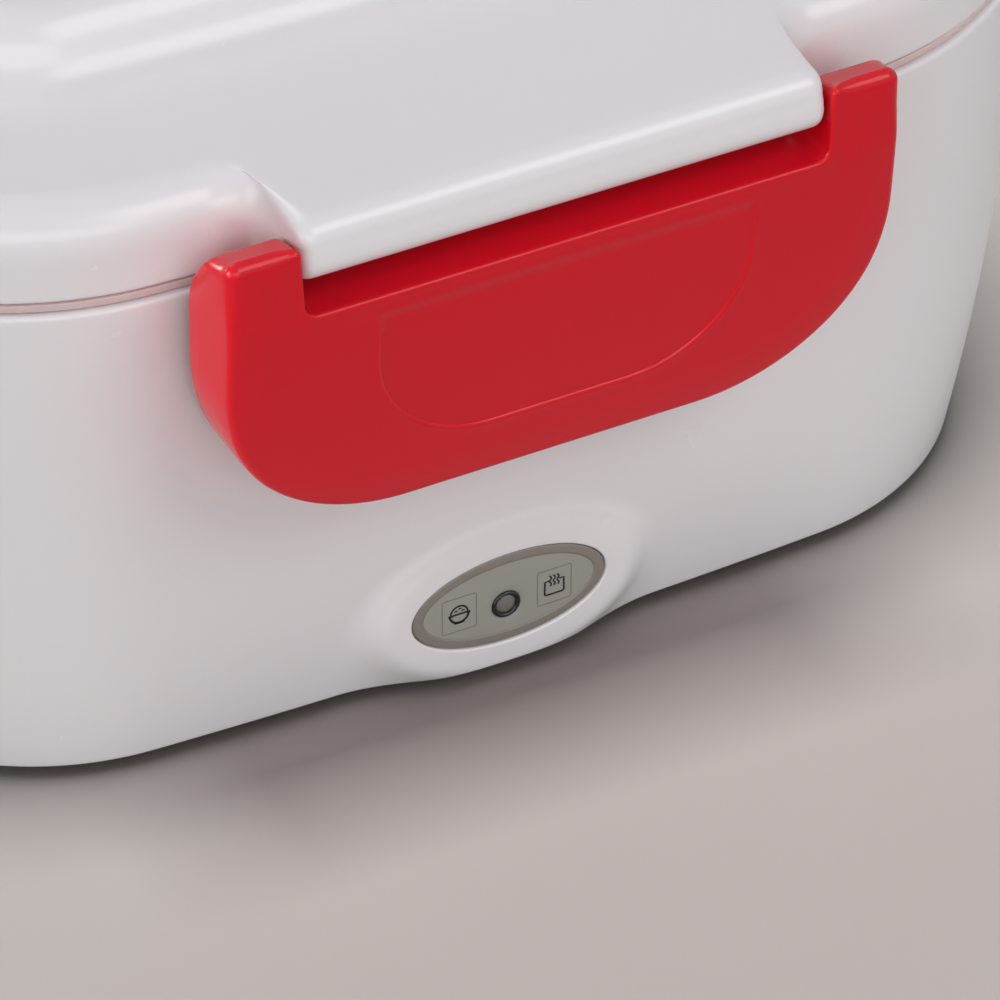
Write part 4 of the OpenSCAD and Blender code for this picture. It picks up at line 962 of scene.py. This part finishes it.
def tray():
    b = Build()
    floor, rim, wall, middle = TRAY_FLOOR, TRAY_RIM, TRAY_WALL, 38
    line = round_profile([(middle, floor), (tray_at(floor), floor), (tray_at(rim), rim - 0.6),
                          (tray_at(rim) - 0.5, rim), (tray_at(rim) + wall + 0.4, rim),
                          (tray_at(floor) + wall + 0.8, floor + wall), (middle, floor + wall)], 4.0, 6)
    b.grid([plan_row(i, z) for i, z in line], closed=True, cap_low=True, cap_high=True)
    half = HALF_W - tray_at(45) - wall
    lo, hi = DIVIDER_Y, DIVIDER_Y + wall
    prism(b, [(lo, floor), (hi, floor), (hi, DIVIDER_TOP), (lo, DIVIDER_TOP)], 0.6 - half, half - 0.6, 0.3)
    b.end("tray_skin", STEEL, "base", "tray_steel", replaced=["food_tray"], sharp=40)


def cup_rows(line, base_z):
    """Rounded rectangles that grow by the first number of each point, at its height."""
    rows = []
    for grow, z in line:
        q = box_loop(CUP_W + grow, CUP_L + grow, max(CUP_CORNER + grow / 2, 1.0), 10, (0, CUP_Y))
        rows.append(np.column_stack([q, np.full(len(q), base_z + z)]))
    return rows


def cup():
    wall, rim = 1.6, CUP_H - 1.6
    line = round_profile([(-30, 0), (0, 0), (0, rim), (3, rim), (3, CUP_H), (-2 * wall, CUP_H),
                          (-2 * wall, wall), (-30, wall)], 0.9, 4)
    b = Build()
    b.grid(cup_rows(line, CUP_Z), closed=True, cap_low=True, cap_high=True)
    b.end("cup_skin", WHITE_IN, "base", "white_inner", replaced=["side_cup"], sharp=40)
    line = round_profile([(-9, -1.0), (-6.6, -1.0), (-6.6, -3), (-3.6, -3), (-3.6, 0), (3, 0), (3, 1.4),
                          (-5, 1.4), (-7, 0.8), (-30, 0.8)], 0.4, 3)
    b = Build()
    b.grid(cup_rows(line, CUP_Z + CUP_H), closed=True, cap_low=True, cap_high=True)
    b.end("cup_cover_skin", RED, "cup_cover", "red_gloss", replaced=["side_cup_lid"], sharp=40)


def seal_and_cover():
    skirt, seal_in = bowl_at(RIM_Z) + BOWL_WALL + SKIRT_GAP, bowl_at(RIM_Z) + 2.3
    low, top, edge = SEAL_LOW, SEAL_TOP, 0.62
    line = round_profile([(edge, 72.2), (edge, 72.7), (2.5, 72.7), (2.5, top), (skirt - 0.02, top),
                          (skirt - 0.02, 69.0), (skirt - 0.9, 69.0), (seal_in, 69.9), (seal_in, low),
                          (edge, low), (edge, 72.2)], 0.4, 3)
    b = Build()
    b.grid([plan_row(i, z) for i, z in line[:-1]], closed=True, joined=True)
    b.end("seal_skin", SEAL, "lid", "seal_silicone", replaced=["lid_seal"], sharp=50)
    out = skirt + 1.8
    line = round_profile([(38, 76.4), (skirt + 5, 76.4), (out, 74.8), (out, 68.0), (skirt, 68.0),
                          (skirt, top), (2.3, top), (2.3, 76.4), (skirt, 76.4), (skirt + 1, 78.2),
                          (38, 78.2)], 0.8, 4)
    b = Build()
    b.grid([plan_row(i, z) for i, z in line], closed=True, cap_low=True, cap_high=True)
    b.end("lid_cover_skin", WHITE_IN, "lid", "white_inner", replaced=["lid_liner"], sharp=40)


# ---- Handle and vent ----
def handle():
    b = Build()
    half, reach, r = 41.0, 44.0, 8.0
    leg = (0.0, 6.0, 14.0, 24.0, 32.0)
    path = np.concatenate([[(half, y) for y in leg], arc((half - r, reach - r), r, 0, 90, 14),
                           [(x, reach) for x in (20.0, 0.0, -20.0)],
                           arc((r - half, reach - r), r, 90, 180, 14), [(-half, y) for y in leg[::-1]]])
    t = np.gradient(path, axis=0)
    t /= np.linalg.norm(t, axis=1)[:, None]
    side = np.stack([t[:, 1], -t[:, 0]], 1)
    across, up = box_loop(12, 10.5, 3.4, 8).T
    rows = [np.column_stack([p[0] + n[0] * across, p[1] + n[1] * across, PIVOT_Z + up])
            for p, n in zip(path, side)]
    b.grid(rows, closed=True, cap_low=True, cap_high=True)
    eye = [(2.05, 0.3), (2.4, 0), (5.2, 0), (5.75, 0.25), (6, 0.8), (6, 11.2), (5.75, 11.75), (5.2, 12),
           (2.4, 12), (2.05, 11.7), (2.05, 0.3)]
    for s in (-1, 1):
        lathe(b, eye, (s * 35, 0, PIVOT_Z), (s, 0, 0), 64)
    b.end("handle_bail", RED, "carry_handle", "red_gloss", replaced=["handle"], sharp=40)


def vent_plug():
    cap = smooth_line([(0, 96.1), (1.5, 96.05), (2.2, 95.8), (2.7, 96.2), (3.1, 96.5), (4.6, 96.5),
                       (5.8, 96.25), (6.4, 95.5), (6.5, 94.4), (6.5, 93.1), (6.2, 92.6)], 4)
    stem = [(2.4, 92.5), (2.4, 87.0), (3.2, 87.0), (1.5, 84.05), (0, 84.0)]
    b = Build()
    lathe(b, ([tuple(p) for p in cap] + stem)[::-1], (0, -44, 0), (0, 0, 1), 64)
    b.end("vent_plug_round", RED_SOFT, "vent", "red_soft", replaced=["vent_plug"], sharp=40)


# ---- Power inlet ----
def softened(name, node, material, body, slot, width):
    """Copy of a CAD solid with rounded edges."""
    bm = bmesh.new()
    bm.from_mesh(frame["nodes"][node].data)
    bmesh.ops.remove_doubles(bm, verts=bm.verts, dist=1e-6)
    bmesh.ops.dissolve_limit(bm, angle_limit=math.radians(1), verts=bm.verts, edges=bm.edges)
    edges = [e for e in bm.edges if e.calc_face_angle(0) > math.radians(40)]
    bmesh.ops.bevel(bm, geom=edges, offset=width * MM, segments=3, profile=0.5, affect="EDGES",
                    clamp_overlap=True)
    bm.verts.index_update()
    v = [tuple(p.co / MM) for p in bm.verts]
    f = [[p.index for p in face.verts] for face in bm.faces]
    bm.free()
    return obj(name, v, f, material, body, slot, replaced=[node], sharp=20)


outer_shell()
lid_shell()
latches()
lamp()
bowl()
tray()
cup()
seal_and_cover()
handle()
vent_plug()
softened("inlet_socket", "power_inlet", BLACK, "base", "black_plastic", 0.25)


# ---- Stage, light and camera ----
def stage():
    bpy.ops.mesh.primitive_plane_add(size=6)
    floor = bpy.context.object
    floor.name = "floor"
    m = surface("floor_paper", (196, 190, 186), 0.6, vary=0.012, tone=3, grain=900, bump=0.02)
    floor.data.materials.append(m)
    world = bpy.data.worlds.new("studio")
    bpy.context.scene.world = world
    world.use_nodes = True
    nt = world.node_tree
    new, link = nt.nodes.new, nt.links.new
    back = nt.nodes["Background"]
    back.inputs["Color"].default_value = (0.98, 0.98, 1, 1)
    back.inputs["Strength"].default_value = 0.17
    plain = new("ShaderNodeBackground")
    plain.inputs["Color"].default_value = (1, 1, 1, 1)
    plain.inputs["Strength"].default_value = 1
    paths = new("ShaderNodeLightPath")
    seen = paths.outputs["Is Camera Ray"]
    for ray in ("Is Glossy Ray", "Is Transmission Ray"):
        both = new("ShaderNodeMath")
        both.operation = "MAXIMUM"
        link(seen, both.inputs[0])
        link(paths.outputs[ray], both.inputs[1])
        seen = both.outputs["Value"]
    mix = new("ShaderNodeMixShader")
    link(seen, mix.inputs["Fac"])
    link(back.outputs[0], mix.inputs[1])
    link(plain.outputs[0], mix.inputs[2])
    link(mix.outputs[0], nt.nodes["World Output"].inputs["Surface"])


def lamp_light(name, at, look, size, power, skip=None, only=None, only_shine=False):
    """Area light. It may leave out one object or light only one, and may shine only in glossy surfaces."""
    data = bpy.data.lights.new(name, "AREA")
    data.shape = "RECTANGLE"
    data.size, data.size_y = size
    data.energy = power
    o = bpy.data.objects.new(name, data)
    bpy.context.scene.collection.objects.link(o)
    o.location = at
    o.rotation_mode = "QUATERNION"
    o.rotation_quaternion = (Vector(look) - Vector(at)).to_track_quat("-Z", "Y")
    o.visible_diffuse = not only_shine
    if skip or only:
        lit = bpy.data.collections.new(name + "_lit")
        lit.objects.link(skip or only)
        o.light_linking.receiver_collection = lit
        if skip:
            lit.collection_objects[0].light_linking.link_state = "EXCLUDE"


def camera():
    phi, tip = math.radians(27.258), math.radians(38.188)
    right = Vector((math.cos(phi), -math.sin(phi), 0))
    ahead = Vector((math.sin(phi) * math.cos(tip), math.cos(phi) * math.cos(tip), -math.sin(tip)))
    up = right.cross(ahead)
    data = bpy.data.cameras.new("photo_view")
    data.sensor_width = 36
    data.lens = 249.84
    data.clip_start, data.clip_end = 0.02, 20
    o = bpy.data.objects.new("photo_view", data)
    bpy.context.scene.collection.objects.link(o)
    turn = Matrix((right, up, -ahead)).transposed().to_4x4()
    o.matrix_world = Matrix.Translation((-0.29218, -0.66859, 0.52590)) @ turn
    bpy.context.scene.camera = o


stage()
FLOOR, LATCH = bpy.data.objects["floor"], bpy.data.objects["latch_front_skin"]
lamp_light("overhead", (-0.3, 0.9, 1.35), (0, -0.05, 0.08), (1.0, 0.6), 5.8, skip=FLOOR)
lamp_light("front_right", (0.62, -1.15, 1.35), (0, -0.08, 0.06), (1.1, 0.8), 11, skip=FLOOR)
lamp_light("front_low", (-0.7, -2.0, 1.15), (0, -0.1, 0.04), (2.4, 0.7), 15, skip=FLOOR)
lamp_light("left", (-1.9, -0.35, 0.55), (0, -0.05, 0.05), (1.2, 0.8), 8, skip=FLOOR)
lamp_light("ear_side", (-1.5, -0.1, 0.6), (0, -0.1, 0.06), (0.8, 0.6), 11, only=LATCH)
lamp_light("floor_top", (0.0, -0.14, 1.5), (0, -0.14, 0), (0.45, 0.45), 14.5, only=FLOOR)
lamp_light("strip", (-0.64, 1.45, 0.36), (-0.04, -0.12, 0.08), (0.9, 0.4), 30, skip=FLOOR, only_shine=True)
camera()
bpy.context.scene.view_settings.view_transform = "Standard"
